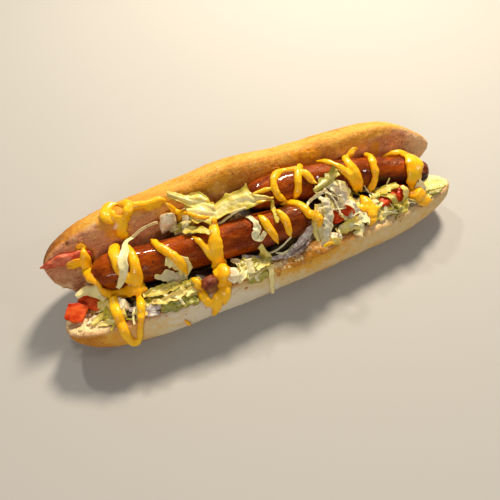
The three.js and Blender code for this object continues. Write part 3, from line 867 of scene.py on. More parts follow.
def standSheet(tree, spec, seed):
    near, far = (spline([at(*place) for place in spec[edge]], 1) for edge in ("near", "far"))
    length = np.linalg.norm(np.diff(near, axis=0), axis=1).sum()
    width = np.linalg.norm(near[len(near) // 2] - far[len(far) // 2])
    cell = sheetRule["standingCell"]
    rows, columns = int(length / cell) + 2, int(width / cell) + 4
    share = np.linspace(0, 1, rows)
    nearRow, farRow = (
        np.stack([np.interp(share, np.linspace(0, 1, len(edge)), edge[:, k]) for k in range(3)], 1)
        for edge in (near, far))
    jags = np.array([[noise.noise((s * length / 3, side * 9.1, seed * 3.3)) for side in (1, 2)]
                     for s in share])
    low, high = spec["jag"] * 1.6 * jags[:, 0], 1 - spec["jag"] * 1.6 * jags[:, 1]
    for place, tall, wide in spec.get("spikes", []):
        high = high + tall * np.exp(-np.abs(share - place) / wide)
    v = low[:, None] + (high - low)[:, None] * np.linspace(0, 1, columns)[None]
    grid = nearRow[:, None] + (farRow - nearRow)[:, None] * v[..., None]
    normal = unit(np.cross(np.gradient(grid, axis=0), np.gradient(grid, axis=1)))
    u = share[:, None] + 0 * v
    edge = np.abs(2 * v - 1)
    wave = np.sin(u * length / 2.2 + 2.5 * np.sin(u * 5 + seed) + (v > 0.5) * 1.7)
    flat = grid.reshape(-1, 3)
    crinkle = ripple(flat, 3.4, 3, seed).reshape(v.shape)
    folds = spec["folds"] * (np.cos(v * 9 + 1.5 * np.sin(u * 4)) + 0.5 * np.cos(v * 17 + u * 5 + seed))
    lift = spec["ruffle"] * edge ** 2 * wave + folds + 0.5 * crinkle
    branch = np.mod(u * length / 6.5 + edge * 0.9, 1)
    vein = hill((branch, 0.5, 0.09)) * ease(edge, 1.0, 0.5)
    rib = np.maximum(hill((v, 0.45, 0.05)), 0.6 * vein)
    moved = (grid + normal * (lift + 0.3 * rib)[..., None]).reshape(-1, 3)
    for i, point in enumerate(moved):
        found, hitNormal, _, gap = tree.find_nearest(Vector(point))
        proud = (point - np.array(found)) @ np.array(hitNormal)
        if proud < sheetRule["leastGap"] and gap < sheetRule["gapReach"]:
            moved[i] = point + np.array(hitNormal) * (sheetRule["leastGap"] - proud)
    keep = np.ones((rows, columns), bool)
    for hu, hv, ru, rv in spec.get("holes", []):
        keep &= ((u - hu) / ru) ** 2 + ((v - hv) / rv) ** 2 + 0.6 * crinkle > 1
    green = spec["green"] + 0.3 * ease(edge, 0.6, 1.0) + 0.2 * crinkle - 0.15 * hill((v, 0.5, 0.2))
    return moved, gridFaces(rows, columns, keep), dict(green=green.ravel(), rib=0.7 * rib.ravel())


def makeStanding(tree, finish):
    made = []
    for number, (node, specs) in enumerate(standing.items()):
        sheets = [standSheet(tree, spec, 10 * number + k) for k, spec in enumerate(specs)]
        made.append(sheetPiece("lettuce_" + node, sheets, finish, "leaf", sheetRule["standingThickness"],
                               [node]))
    return made


standingPieces = makeStanding(searchTree(bread, sausageFront, sausageBack), lettuceGreen)
print("leaves", sum(len(made.data.polygons) for made in standingPieces))

# tomato and onion, cut into pieces: cuts are flats sliced off, so far out from a piece's middle
chunks = dict(
    rounding=3,
    tomato=dict(numbers=(5, 6), seed=4, dents=0.5, size=3.2, cuts=5, depth=(0.62, 0.9), swell=1.25),
    # tomato 4 is a shaded copy: its own finish is painted shade, darker all over
    tomatoPaintedShade=dict(numbers=(4,), seed=4, dents=0.6, size=3.2, cuts=2, depth=(0.86, 0.96), swell=1.16),
    tomatoTip=dict(numbers=(1,), seed=5, dents=0.7, size=4.5, cuts=0, depth=(1, 1), swell=1.06, pinch=0.6),
    onion=dict(numbers=(1, 2, 3, 4), seed=6, dents=0.4, size=2.8, cuts=5, depth=(0.5, 0.85), swell=1.12),
)
tomatoLook = dict(
    # the dark and the light flesh of each kind of piece
    # the second finish is the tomato in painted shade, darkened as if in shadow
    flesh=dict(tomato=("bc2e02", "de4e0c"), tomato_painted_shade=("6a2814", "8e4a2c"),
               tomato_pale=("c0482a", "dc7c58")),
    roughness=0.42, coat=0.07, coatRoughness=0.15, specular=0.2, soft=0.12, softReach=0.003,
    grains=dict(flesh=(4, 3), fibre=(1.3, 3, 0.6, (0.5, 1, 1))), bumps=[("fibre", 0.5, 0.6)],
    coats=[("cutFlesh", "e46c2e"), ("fibre", 0.6, 0.8, 0, 0.45, "dc9058")], cutStrength=0.7,
)
onionLook = dict(
    roughness=0.32, coat=0.2, coatRoughness=0.2, soft=0.2, softReach=0.003,
    grains=dict(layer=(4, 2), fibre=(1.2, 3, 0.6, (0.4, 1, 1))), bumps=[("fibre", 0.3, 0.4)],
    coats=["f0e4c0", ("layer", 0.35, 0.7, "dcc496"), ("fibre", 0.55, 0.8, 0, 0.5, "f2e6cb")],
)


def tomatoFinish(name):
    finish, tree, shader, drivers = startFinish(name, tomatoLook)
    dark, light = tomatoLook["flesh"][name]
    ground = blend(tree, span(tree, drivers["flesh"], 0.35, 0.7), tint(dark), tint(light))
    cut = calc(tree, "MULTIPLY", mark(tree, "cut"), span(tree, drivers["flesh"], 0.42, 0.62))
    drivers["cutFlesh"] = calc(tree, "MULTIPLY", cut, tomatoLook["cutStrength"])
    feed(tree, paintCoats(tree, drivers, tomatoLook["coats"], ground), shader.inputs["Base Color"])
    feed(tree, raiseBumps(tree, drivers, tomatoLook["bumps"]), shader.inputs["Normal"])
    return finish


def makeChunks(kind, finish, rule=None):
    spec, made = chunks[rule or kind], []
    rng = random.Random(spec["seed"])
    for number in spec["numbers"]:
        piece = copyOfNode(f"{kind}_{number}", f"{kind}_piece_{number}", finish)
        addRounding(piece, chunks["rounding"])
        applyModifiers(piece)
        points, normals = pointsOf(piece.data), normalsOf(piece.data)
        middle, half = (points.max(0) + points.min(0)) / 2, (points.max(0) - points.min(0)) / 2
        local, cut = (points - middle) / half, np.zeros(len(points))
        for _ in range(spec["cuts"]):
            direction = unit(np.array([rng.gauss(0, 1) for _ in range(3)]))
            past = local @ direction - rng.uniform(*spec["depth"])
            local = local - direction * np.maximum(past, 0)[:, None]
            cut = np.maximum(cut, ease(past, 0, 0.08))
        narrowed = 1 - spec.get("pinch", 0) * ease(-local[:, 0], -0.1, 1.0)
        local[:, 1:] *= narrowed[:, None]
        points = middle + local * half * spec["swell"]
        dents = ripple(points, spec["size"], 3, number) * spec["dents"]
        movePoints(piece.data, points + normals * dents[:, None])
        markMesh(piece.data, dict(cut=cut))
        made.append(settle(piece, kind, f"{kind}_{number}"))
    return made


# the other two tomato pieces lie flat on the crumb at the left end: routes of x, across, width
tomatoFlats = {
    2: [(-125, 8, 8), (-122, 10, 10.5), (-119, 12, 10.5), (-116.5, 14, 8)],
    3: [(-118, 4, 4), (-114, 6, 8), (-110, 9, 9), (-106, 12, 6)],
}


def makeFlats(tree, finish):
    made = []
    for seed, (number, route) in enumerate(tomatoFlats.items(), start=60):
        points, faces, _ = laySheet(tree, route, green=0, lift=1.4, slack=0.25, ruffle=0.0, crinkle=0.25,
                                    jag=0.08, seed=seed, cell=0.6)
        sheet = points, faces, dict(cut=np.full(len(points), 0.6))
        made.append(sheetPiece(f"tomato_piece_{number}", [sheet], finish, "tomato", 2.6,
                               [f"tomato_{number}"]))
    return made


tomatoRed = tomatoFinish("tomato")
tomatoes = makeChunks("tomato", tomatoRed)
tomatoes += makeChunks("tomato", tomatoFinish("tomato_painted_shade"), "tomatoPaintedShade")
tomatoes += makeChunks("tomato", tomatoFinish("tomato_pale"), "tomatoTip")
tomatoes += makeFlats(searchTree(bread, core), tomatoRed)
onions = makeChunks("onion", makeFinish("onion", onionLook))
print("tomato and onion", len(tomatoes + onions))

# leaf pieces and strips that lie over what is there: routes of x, across, width
laid = dict(
    lettuce_leaf_3=[
        dict(route=[(-69, 5, 4), (-65, 7, 7), (-61, 10, 8), (-58, 14, 5)], green=-0.05, rib=0.2, lift=0.9,
             ruffle=0.3, jag=0.3),
        dict(route=[(-60, 15, 4), (-66, 14, 6), (-71, 12, 5), (-77, 10, 1.6)], green=-0.4, rib=0.1, lift=1.3,
             ruffle=0.4, jag=0.3)],
    lettuce_leaf_4=[
        dict(route=[(-87, 22, 5), (-79, 23, 10), (-69, 25, 11), (-58, 27, 7)], green=0.7, lift=0.8,
             ruffle=0.9, crinkle=1.2),
        dict(route=[(-86, 17, 3), (-79, 17, 5), (-72, 18, 6), (-66, 18, 3)], green=0.5, rib=0.1, lift=2.0,
             cup=0.5, crinkle=1.2, jag=0.3),
        dict(route=[(-71, 19, 3), (-66, 20, 6), (-60, 21, 6), (-55, 20, 3)], green=0.65, lift=1.8, cup=-0.4,
             crinkle=1.4, jag=0.35),
        dict(route=[(-83, 22, 2.4), (-77, 24, 3.6), (-70, 24, 4.4), (-64, 23, 2.2)], green=0.3, rib=0.3,
             lift=2.4, cup=0.7, crinkle=1.0, ruffle=0.9, jag=0.3),
        dict(route=[(-66, 26, 2.4), (-62, 24, 4), (-57, 25, 3)], green=0.3, rib=0.2, lift=2.2, cup=0.4,
             jag=0.3),
        dict(route=[(-80, 27, 3), (-73, 29, 4.6), (-66, 29, 5), (-60, 31, 3)], green=0.95, lift=1.4,
             ruffle=1.3, jag=0.3),
        dict(route=[(-76, 21, 1.2), (-70, 25, 1.6), (-68, 30, 1.2)], green=0.0, rib=1.0, lift=2.8)],
    lettuce_leaf_7=[
        dict(route=[(88, 24, 4), (96, 24, 6), (103, 22, 7)], green=0.5, lift=1.2, ruffle=0.8),
        dict(route=[(100, 18, 6), (107, 18, 9), (114, 18, 9), (119, 19, 5)], green=0.2, lift=1.0,
             ruffle=0.8),
        dict(route=[(101, 22, 3), (106, 23, 4), (111, 23, 3)], green=0.95, lift=2.0, ruffle=0.6)],
    rib_strip=[
        dict(route=[(-64, -19, 1.2), (-71, -19, 1.3), (-78, -17, 1.6), (-84, -14, 2.4), (-86, -8, 4.2),
                    (-89, -3, 5.2), (-90, 2, 4.6), (-93, 6, 3.4), (-96.5, 8.5, 2.2)], green=0.1, rib=0.75,
             lift=4.0, cup=0.25, ruffle=0.2, jag=0.06)],
    cream_arc=[
        dict(route=[(-118, 3, 3), (-114, 1.5, 5), (-110, 3, 5.6), (-106.5, 6, 6), (-103.5, 10, 5.6),
                    (-104, 14, 3.4)], green=0.05, rib=0.55, lift=3.6, cup=-0.5, ruffle=0.4, jag=0.12)],
    pale_hook=[
        dict(route=[(-19, -2, 2.2), (-17, 3, 3.0), (-17.5, 8, 3.6), (-20, 11, 4.4), (-17, 13, 3.4),
                    (-13.5, 11, 2.0)], green=-0.35, rib=0.6, lift=0.9, cup=0.3, ruffle=0.5, crinkle=0.9,
             jag=0.3, slack=2)],
    small_leaf=[
        dict(route=[(-54, -6, 3.4), (-50.5, -7, 5), (-47, -5, 5), (-43.5, -2, 4.4), (-42, 1, 2)], green=0.5,
             lift=2.8, ruffle=0.9, cup=0.2)],
    stem_strand=[
        dict(route=[(-37, -4, 1.6), (-31, -5, 1.5), (-24, -6, 1.5), (-18, -6, 1.2)], green=0.2, rib=0.6,
             lift=0.8, cup=-0.2, ruffle=0.1)],
    slip_leaf=[
        dict(route=[(-2, -5, 1.6), (-3, -1, 3.2), (-4, 4, 3.4), (-6, 9, 1.6)], green=0.45, lift=1.0,
             slack=2)],
    rim_leaf=[
        dict(route=[(-115, 21, 2.4), (-110, 18, 4), (-105, 19, 6), (-101, 22, 4)], green=0.6, lift=0.9,
             ruffle=0.6),
        dict(route=[(-112, 22, 2), (-107, 23, 3.6), (-102, 24, 3)], green=0.15, lift=0.8)],
    white_curls=[
        dict(route=[(-35, 16, 2.4), (-31, 21, 3.6), (-33, 27, 4.2), (-38, 30, 3)], green=-0.3, rib=0.5,
             lift=1.8, cup=0.4, ruffle=0.6),
        dict(route=[(-32, 28, 3), (-27, 28.5, 4), (-22, 27, 3.8), (-18.5, 25, 3)], green=0.1, rib=0.8,
             lift=2.0, cup=0.5, ruffle=0.6),
        dict(route=[(-31, 31, 4), (-25, 31, 6), (-19, 31, 4)], green=0.75, lift=0.9, ruffle=0.6)],
    hanging_strand=[
        dict(route=[(-15, 27, 2.6), (-17, 31, 3.2), (-18, 36, 3.0), (-18, 42, 2.2)], green=0.2, rib=0.5,
             lift=0.9, cup=0.15, ruffle=0.2, slack=1.6)],
    thin_strands=[
        dict(route=[(15, 6, 1.4), (19, 3, 1.8), (23, 2, 2.0), (27, 2, 1.8), (32, 4, 1.4), (36, 6, 1.2),
                    (35, 10, 0.9)], green=0.0, rib=1.0, lift=1.4, ruffle=0.1),
        dict(route=[(17, 10, 1.1), (24, 12, 1.1), (31, 13, 1.0), (38, 14, 0.9)], green=0.0, rib=1.0,
             lift=1.2, ruffle=0.1),
        dict(route=[(28, 0, 1.2), (31, 5, 1.3), (33, 11, 1.2), (32, 17, 1.0)], green=0.0, rib=1.0, lift=1.8),
        dict(route=[(40, -2, 1.1), (38, 5, 1.2), (40, 12, 1.1), (44, 17, 0.9)], green=0.0, rib=1.0,
             lift=2.0),
        dict(route=[(21, 14, 1.2), (19, 20, 1.6), (21, 26, 1.4)], green=0.1, rib=0.8, lift=1.4),
        dict(route=[(-10, 22, 0.9), (-6, 24, 1.3), (-1, 23, 1.2), (3, 21, 0.9)], green=0.0, rib=1.0,
             lift=2.4),
        dict(route=[(-16, 20, 0.8), (-11, 21, 1.1), (-5, 20, 1.0), (0, 18, 0.8)], green=0.0, rib=1.0,
             lift=2.8)],
    middle_leaf=[
        dict(route=[(22, 4, 3), (24, 9, 6), (23, 15, 6.5), (20, 21, 6.5), (17, 27, 5), (15, 31, 3)],
             green=-0.4, rib=0.15, lift=2.4, slack=0.7, ruffle=0.8, cup=-0.5, crinkle=1.1),
        dict(route=[(32, 1, 2.4), (37, 6, 4.4), (41, 13, 5), (44, 19, 3)], green=-0.45, rib=0.1, lift=2.6,
             slack=0.7, ruffle=0.8, cup=0.4, crinkle=1.1),
        dict(route=[(16, 24, 3), (21, 28, 4.4), (27, 31, 3)], green=0.45, lift=1.0, ruffle=0.8),
        dict(route=[(28, 24, 3), (34, 24, 5.6), (40, 23, 5.4), (46, 21, 3)], green=0.3, lift=0.9, ruffle=0.8,
             jag=0.3),
        dict(route=[(27, 26, 1.2), (33, 22, 1.8), (40, 24, 1.6), (45, 27, 1)], green=0.0, rib=0.9,
             lift=2.2)],
    right_leaves=[
        dict(route=[(60, 14, 3), (66, 11, 5), (72, 11, 6.4), (79, 12, 4)], green=0.5, lift=2.4, ruffle=1.4,
             jag=0.3),
        dict(route=[(67, 13, 2.6), (70, 18, 4), (72, 25, 4)], green=0.6, lift=1.6, ruffle=0.6),
        dict(route=[(80, 13, 3), (80, 18, 5), (79, 26, 4)], green=0.1, lift=1.8, ruffle=0.5),
        dict(route=[(46, 8, 4), (51, 13, 7), (56, 19, 7), (62, 24, 3)], green=0.1, lift=1.2, ruffle=0.6),
        dict(route=[(61, 23, 3), (66, 24, 4.4), (71, 27, 3)], green=0.5, lift=1.0, ruffle=0.6)],
)

# thin slivers of red onion: routes as above
slivers = [
    dict(route=[(-7, 27, 1.8), (-1, 25.5, 4), (5, 23.5, 4), (10, 20, 2.4)], lift=1.4, cup=0.4),
    dict(route=[(0, 24, 2), (5, 22, 4.2), (10, 19.5, 4.4), (14, 17, 2.6)], lift=1.6, cup=0.5),
    dict(route=[(-14, 24, 1.6), (-8, 25, 2.8), (-3, 24, 2)], lift=1.0, cup=0.4),
    dict(route=[(2, 27, 1.4), (8, 25, 2.2), (14, 22, 1.6)], lift=0.9, cup=0.3),
    dict(route=[(-95, 21, 2), (-90, 23, 4.4), (-84, 25, 4.2), (-79, 26, 2)], lift=1.0, cup=-0.3),
    dict(route=[(-93, 26, 1.6), (-87, 27, 3), (-81, 29, 1.8)], lift=0.8, cup=0.3),
    dict(route=[(-56, 17, 2), (-52, 21, 3.4), (-50, 26, 2.6)], lift=0.8, cup=0.3),
    dict(route=[(-29, 17, 1.4), (-24, 20, 2.6), (-19, 21, 1.8)], lift=1.6, cup=0.3),
]
sliverLook = dict(
    roughness=0.3, coat=0.2, coatRoughness=0.15, soft=0.2, softReach=0.003,
    grains=dict(layer=(3, 2), fibre=(1.0, 3, 0.6, (0.4, 1, 1))), bumps=[("fibre", 0.4, 0.4)],
    coats=["a58e86", ("layer", 0.4, 0.62, "dccec2"), ("rib", "e6dacb")],
)


def makeSlivers(tree, finish):
    sheets = [laySheet(tree, green=0, slack=0.6, ruffle=0.3, crinkle=0.2, seed=300 + k, **sheet)
              for k, sheet in enumerate(slivers)]
    return sheetPiece("onion_slivers", sheets, finish, "onion", 0.6)


def makeLaid(tree, finish):
    made = []
    for number, (name, specs) in enumerate(laid.items()):
        sheets = [laySheet(tree, seed=100 + 10 * number + k, **spec) for k, spec in enumerate(specs)]
        nodes = [name.removeprefix("lettuce_")] if name.startswith("lettuce_") else []
        made.append(sheetPiece(name, sheets, finish, "leaf", nodes=nodes))
    return made


laidPieces = makeLaid(searchTree(bread, sausageFront, sausageBack, core, *standingPieces, *tomatoes, *onions),
                      lettuceGreen)
laidPieces.append(makeSlivers(searchTree(bread, sausageFront, sausageBack, core),
                              makeFinish("onion_sliver", sliverLook)))
print("laid leaves", len(laidPieces))

# crumbs and flecks: heaps are x, across, spread along, spread across, how many, smallest and largest radius
scatter = dict(
    lumps=dict(
        finish="soft_crumb", roughness=0.8, dark="e8bc84", light="fff0cc", slot="bread", standsOut=0.1,
        seed=30,
        heaps=[(-113, 13, 4, 3, 13, 1.2, 2.4), (-118, 16, 3, 2, 8, 1.0, 2.0), (-48, -17, 3, 2, 5, 0.8, 1.8)]),
    crumbs=dict(
        finish="toasted_crumb", roughness=0.75, dark="bc7c28", light="f6d898", slot="bread", standsOut=0.2,
        seed=31, heaps=[(-4, 30, 14, 2.2, 40, 0.4, 1.3), (-113, 15, 5, 4, 18, 0.5, 1.3),
                        (62, 29, 26, 2.0, 18, 0.3, 0.7), (-62, 33, 26, 1.5, 14, 0.3, 0.7),
                        (20, -22, 55, 6, 26, 0.3, 0.6)]),
    flecks=dict(
        finish="herb_and_pepper", roughness=0.6, dark="1f140a", light="5b4a16", slot="lettuce",
        standsOut=0.15, seed=32, heaps=[(-50, 8, 34, 12, 60, 0.2, 0.42), (52, 8, 34, 12, 60, 0.2, 0.42),
                                        (0, 0, 60, 20, 30, 0.2, 0.36)]),
)


def grainShape():
    shell = bmesh.new()
    bmesh.ops.create_icosphere(shell, subdivisions=2, radius=1)
    shape = np.array([corner.co[:] for corner in shell.verts])
    faces = [[corner.index for corner in face.verts] for face in shell.faces]
    shell.free()
    return shape, faces


def makeScatter(name, tree):
    spec = scatter[name]
    finish = makeFinish(spec["finish"], dict(
        roughness=spec["roughness"], grains=dict(spot=(1.1, 3, 0.6)), swung=dict(shade=("spot", 0.6)),
        coats=[spec["dark"], ("shade", 0.1, 0.9, spec["light"])], bumps=[("spot", 0.5, 0.3)]))
    rng = random.Random(spec["seed"])
    shape, faces = grainShape()
    parts = []
    for x, across, spreadX, spreadA, count, small, large in spec["heaps"]:
        for _ in range(count):
            place, normal = dropOnto(tree, rng.gauss(x, spreadX), rng.gauss(across, spreadA))
            radius = small + (large - small) * rng.random() ** 2
            if place is None or normal @ pourAxis < 0.2:
                continue
            turn = rng.uniform(0, math.pi)
            lengthways = unit(np.cross(normal, [math.cos(turn), math.sin(turn), 0.1]))
            crossways = np.cross(normal, lengthways)
            uneven = 1 + 0.5 * ripple(shape, 0.9, 2, rng.randrange(999))[:, None]
            sized = shape * uneven * radius * np.array([rng.uniform(0.9, 1.6), 1, rng.uniform(0.4, 0.8)])
            centre = place + normal * radius * spec["standsOut"]
            points = centre + sized @ np.array([lengthways, crossways, normal])
            parts.append((points, faces, dict(shade=np.full(len(points), rng.random()))))
    points, faces, marks = gather(parts)
    return settle(newPiece(name, points, faces, finish, marks), spec["slot"])


lumps = makeScatter("lumps", searchTree(bread, core))
crumbs = makeScatter("crumbs", searchTree(bread))
flecks = makeScatter("flecks", searchTree(bread, sausageFront, sausageBack, bits, *laidPieces))
print("crumbs and flecks", *(len(made.data.polygons) for made in (lumps, crumbs, flecks)))

# the sauce: a strand is places of x, across, half its width
sauce = dict(
    voxel=0.45, softening=8, flat=2.0, bed=0.3, dabBed=0.2, slack=1.4, around=12, spacing=0.8,
    unevenWidth=0.22, taperSteps=6.0, swirl=0.15, thinFrom=0.15, thinTo=0.9,
    strands=[
        [(-106, -20, 2.6), (-107, -14, 3.0), (-108.5, -8, 2.9), (-107, -3, 3.0), (-104, 4, 2.6)],
        [(-88, -18, 1.8), (-91, -13, 3.0), (-92, -6, 3.0), (-92, 0, 2.8), (-90, 5, 2.8), (-88, 10, 2.8)],
        [(-85, -15, 1.4), (-84, -8, 2.3), (-84, -1, 2.7), (-85, 6, 3.2), (-87, 12, 3.8)],
        [(-106, 3, 2.2), (-102, 8, 2.8), (-96, 10, 3.2), (-91, 11, 3.6), (-86, 12, 4.0), (-82, 15, 3.0)],
        [(-100, 9, 2.9), (-101, 16, 2.8), (-101, 23, 2.8), (-101, 29, 2.7), (-100.5, 34, 2.4),
         (-99, 37.5, 2.0), (-96, 37, 1.6), (-93, 32, 1.7), (-90.5, 27, 2.0), (-88.5, 21, 2.1),
         (-88, 14, 2.8)],
        [(-71, -12, 1.8), (-69, -4, 2.4), (-66, 1, 2.6), (-63, 6, 2.6), (-61, 11, 2.4), (-60, 15, 1.8)],
        [(-57, -28, 1.7), (-53, -23, 1.8), (-50, -19, 1.6), (-47, -15, 1.5), (-43, -11, 1.5),
         (-37, -9, 1.6)],
        [(-51, -3, 1.4), (-48, 3, 1.8), (-46, 10, 1.9), (-44, 15, 1.8)],
        [(-35, -9, 2.0), (-37, -5, 2.5), (-39, 0, 3.2), (-41, 6, 4.0), (-42, 12, 4.2), (-42, 18, 4.6),
         (-43, 23, 5.4), (-44, 28, 4.4), (-45, 32, 3.0), (-46, 35, 2.6), (-48, 38, 1.8)],
        [(-47, 29, 2.0), (-50, 33, 3.0), (-52, 37, 2.8), (-55, 41, 1.4)],
        [(-59, 18, 2.6), (-57, 23, 2.4), (-57, 28, 2.3), (-56, 33, 2.3), (-53, 37, 2.2)],
        [(-13, 0, 2.0), (-12, 4, 2.5), (-11, 10, 2.5), (-9, 15, 2.2), (-7, 19, 1.2)],
        [(-3, 1, 1.8), (-2, 5, 2.3), (-1, 10, 2.4), (-1, 15, 2.0), (0, 19, 1.2)],
        [(8, -3, 2.2), (3, -6, 2.3), (2, -11, 2.3), (4, -16, 2.4), (11, -20, 2.3), (19, -18, 2.1),
         (23, -14, 2.2), (25, -9, 2.2), (27, -4, 1.8)],
        [(-13, -12, 1.1), (-6, -12, 1.4), (1, -11, 1.8)],
        [(28, -23, 1.4), (25, -20, 2.1), (20, -16, 2.4), (17, -10, 2.5), (15, -5, 2.3), (12, -2, 1.8)],
        [(3, -3, 2.2), (8, -2, 2.8), (12, 5, 2.7), (13, 10, 2.7), (17, 16, 2.9), (15, 20, 2.4)],
        [(39, -22, 1.8), (42, -16, 2.2), (46, -10, 2.4), (50, -4, 2.5), (53, 1, 2.4), (57, 6, 1.8)],
        [(70, -22, 2.2), (62, -19, 2.6), (54, -14, 2.7), (54, -7, 2.9), (56, 0, 3.0), (59, 6, 2.7)],
        [(78, -19, 2.0), (73, -13, 2.3), (69, -6, 2.4), (68, 1, 2.4), (66, 5, 2.3), (62, 9, 2.0)],
        [(86, -13, 1.6), (95, -12, 2.2), (100, -9, 3.6), (97, -3, 5.0), (94, 2, 5.6), (91, 8, 5.8),
         (90, 13, 5.2), (89.5, 17, 3.4)],
        [(87, 15, 2.6), (88, 20, 4.4), (92, 25, 4.6), (96, 27, 3.4), (99, 28, 2.0)],
        [(55, 8, 2.4), (55, 13, 3.4), (55, 19, 3.8), (53, 25, 3.2), (51, 29, 2.0)],
        [(47, 13, 2.2), (51, 17, 3.4), (57, 20, 3.4), (62, 20, 1.6)],
        [(-71, 36, 1.4), (-69, 39, 1.8), (-68, 41, 1.0)],
        # the splash on the back rim, with a small gap in it
        [(-87, -26, 2.2), (-89, -30, 3.0), (-88.5, -34, 3.4), (-85, -37.5, 3.4), (-80, -38, 2.6)],
        [(-86, -35, 2.4), (-85, -31, 2.2), (-85.5, -27, 2.4)],
        [(-81, -37, 2.4), (-77, -35, 3.2), (-75, -32, 2.6), (-78, -29, 2.6), (-81, -26, 2.2)],
        [(-77, -33, 3.0), (-71, -31, 2.4), (-65, -30, 2.0), (-59, -30, 2.2), (-55, -28, 2.2)],
    ],
    # x, across, half length, half width, half height; thin dabs have soaked in and look amber
    dabs=[(-84, -25, 5.0, 5.5, 0.7), (-84.5, -20, 4.0, 4.6, 0.7), (-113, -14, 5.0, 3.6, 0.8),
          (-43, 22, 5.0, 6.0, 3.0), (90, 22, 5.2, 4.2, 2.2), (68, -22, 4.4, 2.0, 1.2),
          (-59, -22, 5.5, 2.4, 0.9), (-53, -19, 4.0, 3.0, 0.6), (-66, -28, 9, 2.4, 0.6),
          (-79, -27, 3.0, 3.0, 0.6), (17, 30, 4, 1.6, 0.6), (-107, -20, 3.4, 5, 0.5),
          (33, -28, 4.5, 3, 0.4), (39, -26.5, 3.5, 3.4, 0.4), (12, -25, 4, 2.4, 0.4),
          (-6, -6, 6, 1.5, 0.5)],
    roughness=0.32, coat=0.2, coatRoughness=0.1, specular=0.3, soft=0.25, softReach=0.003,
    grains=dict(swirl=(9, 3), fleck=(0.8, 2)), bumps=[("swirl", 0.2, 0.6)],
    coats=["ffb206", ("swirl", 0.3, 0.7, "ffc414"), ("thin", "d6840e"),
           ("fleck", 0.7, 0.78, 0, 0.5, "c0630f")],
)


def pourStrand(tree, strand, turns):
    route = spline(strand, sauce["spacing"])
    plan = route[:, :2]
    heights = rest(pourHeights(tree, plan), plan, sauce["slack"])
    path = fromPlan(plan, heights)
    half = route[:, 2] * (1 + sauce["unevenWidth"] * ripple(path, 5, 2, 14))
    tangent = unit(np.gradient(path, axis=0))
    side = unit(np.cross(pourAxis, tangent))
    raised = np.cross(tangent, side)
    tall = np.minimum(half * 0.8, sauce["flat"])
    path = path + raised * (tall * sauce["bed"])[:, None]
    steps = np.minimum(np.arange(len(path)), np.arange(len(path))[::-1])
    ends = np.clip(steps / sauce["taperSteps"], 0.02, 1) ** 0.6
    return loft(path[:, None] + side[:, None] * (np.cos(turns)[None] * (half * ends)[:, None])[..., None]
                + raised[:, None] * (np.sin(turns)[None] * (tall * ends)[:, None])[..., None])


def dropDab(tree, x, across, halfLong, halfWide, halfTall):
    place, normal = dropOnto(tree, x, across)
    along, turnA, turnB = ballDirections(10, 16)
    ring = np.sqrt(1 - along ** 2)
    lengthways = unit(np.array([1.0, 0, 0]) - normal * normal[0])
    crossways = np.cross(normal, lengthways)
    return loft(place + normal * halfTall * sauce["dabBed"] + lengthways * (along * halfLong)[..., None]
                + crossways * (turnA * ring * halfWide)[..., None]
                + normal * (turnB * ring * halfTall)[..., None])


def makeSauce(tree, finish):
    turns = np.linspace(0, 2 * math.pi, sauce["around"], endpoint=False)
    parts = [pourStrand(tree, strand, turns) for strand in sauce["strands"]]
    parts += [dropDab(tree, *dab) for dab in sauce["dabs"]]
    points, faces, _ = gather([(p, f, {}) for p, f in parts])
    made = newPiece("sauce", points, faces, finish)
    remesh(made, sauce["voxel"], sauce["softening"])
    points, normals = pointsOf(made.data), normalsOf(made.data)
    movePoints(made.data, points + normals * (sauce["swirl"] * ripple(points, 3.5, 2, 3))[:, None])
    gaps = [tree.find_nearest(Vector(point))[3] for point in pointsOf(made.data)]
    markMesh(made.data, dict(thin=1 - ease(gaps, sauce["thinFrom"], sauce["thinTo"])))
    return settle(made, "sauce")


table = searchTree(bread, sausageFront, sausageBack, core, bits, *standingPieces, *tomatoes, *onions,
                   *[made for made in laidPieces if made.name != "rib_strip"])
poured = makeSauce(table, makeFinish("orange_sauce", sauce))
print("sauce", len(poured.data.polygons))

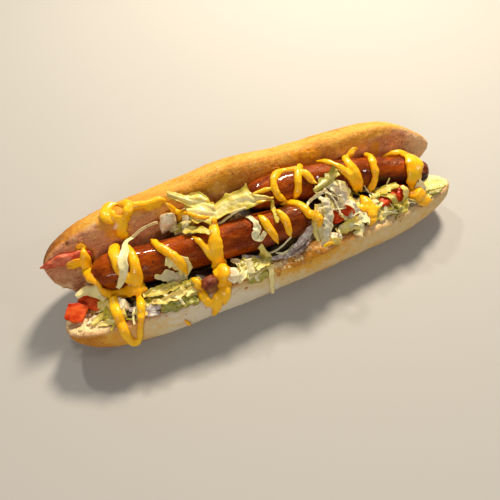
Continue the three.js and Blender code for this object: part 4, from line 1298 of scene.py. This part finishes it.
# the studio: a plain floor, four soft lamps and the camera; lamp places and sizes are in metres
studio = dict(
    floorHalf=1.6, floorDrop=0.0002, floorColour="b4b1ac", floorRoughness=0.8, clipFrom=0.01,
    cameraAt=(-86.3, -153.5, 234.0), cameraTo=(-17.4, -11.2, 16.4), fieldOfView=59.0,
    keyAt=(0.4, 0.45, 0.7), keySize=0.18, keyPower=11.7, keyColour=(1.0, 0.88, 0.7),
    fillAt=(-0.5, -0.7, 0.5), fillSize=0.3, fillPower=2.4, fillColour=(1.0, 0.95, 0.88),
    glintAt=(-0.07, 0.64, 0.76), glintSize=0.07, glintPower=2.4, glintColour=(1.0, 0.95, 0.85),
    edgeAt=(0.65, -0.42, 0.62), edgeSize=0.08, edgePower=0.9, edgeColour=(0.95, 0.97, 1.0),
    skyColour=(1.0, 0.97, 0.92), skyPower=0.2,
)


def makeFloor():
    half = studio["floorHalf"]
    mesh = bpy.data.meshes.new("floor")
    corners = [(-half, -half, 0), (half, -half, 0), (half, half, 0), (-half, half, 0)]
    mesh.from_pydata(corners, [], [(0, 1, 2, 3)])
    finish, _, shader, _ = startFinish("floor", dict(roughness=studio["floorRoughness"]))
    shader.inputs["Base Color"].default_value = tint(studio["floorColour"])
    mesh.materials.append(finish)
    floor = addObject("floor", mesh)
    floor.location.z = -studio["floorDrop"]


def makeLamps():
    for name in ("key", "fill", "glint", "edge"):
        light = bpy.data.lights.new(name, "AREA")
        light.shape = "DISK"
        light.size = studio[f"{name}Size"]
        light.energy = studio[f"{name}Power"]
        light.color = studio[f"{name}Colour"]
        lamp = addObject(name, light)
        lamp.location = studio[f"{name}At"]
        lamp.rotation_euler = (-lamp.location).to_track_quat("-Z", "Y").to_euler()
    sky = bpy.data.worlds.new("sky")
    sky.use_nodes = True
    background = sky.node_tree.nodes["Background"]
    background.inputs["Color"].default_value = (*studio["skyColour"], 1)
    background.inputs["Strength"].default_value = studio["skyPower"]
    bpy.context.scene.world = sky


def makeCamera():
    camera = addObject("camera", bpy.data.cameras.new("camera"))
    camera.location = Vector(studio["cameraAt"]) * mm
    aim = Vector(studio["cameraTo"]) * mm - camera.location
    camera.rotation_euler = aim.to_track_quat("-Z", "Y").to_euler()
    camera.data.angle = math.radians(studio["fieldOfView"])
    camera.data.clip_start = studio["clipFrom"]
    bpy.context.scene.camera = camera
    bpy.context.scene.view_settings.view_transform = "Standard"


makeFloor()
makeLamps()
makeCamera()
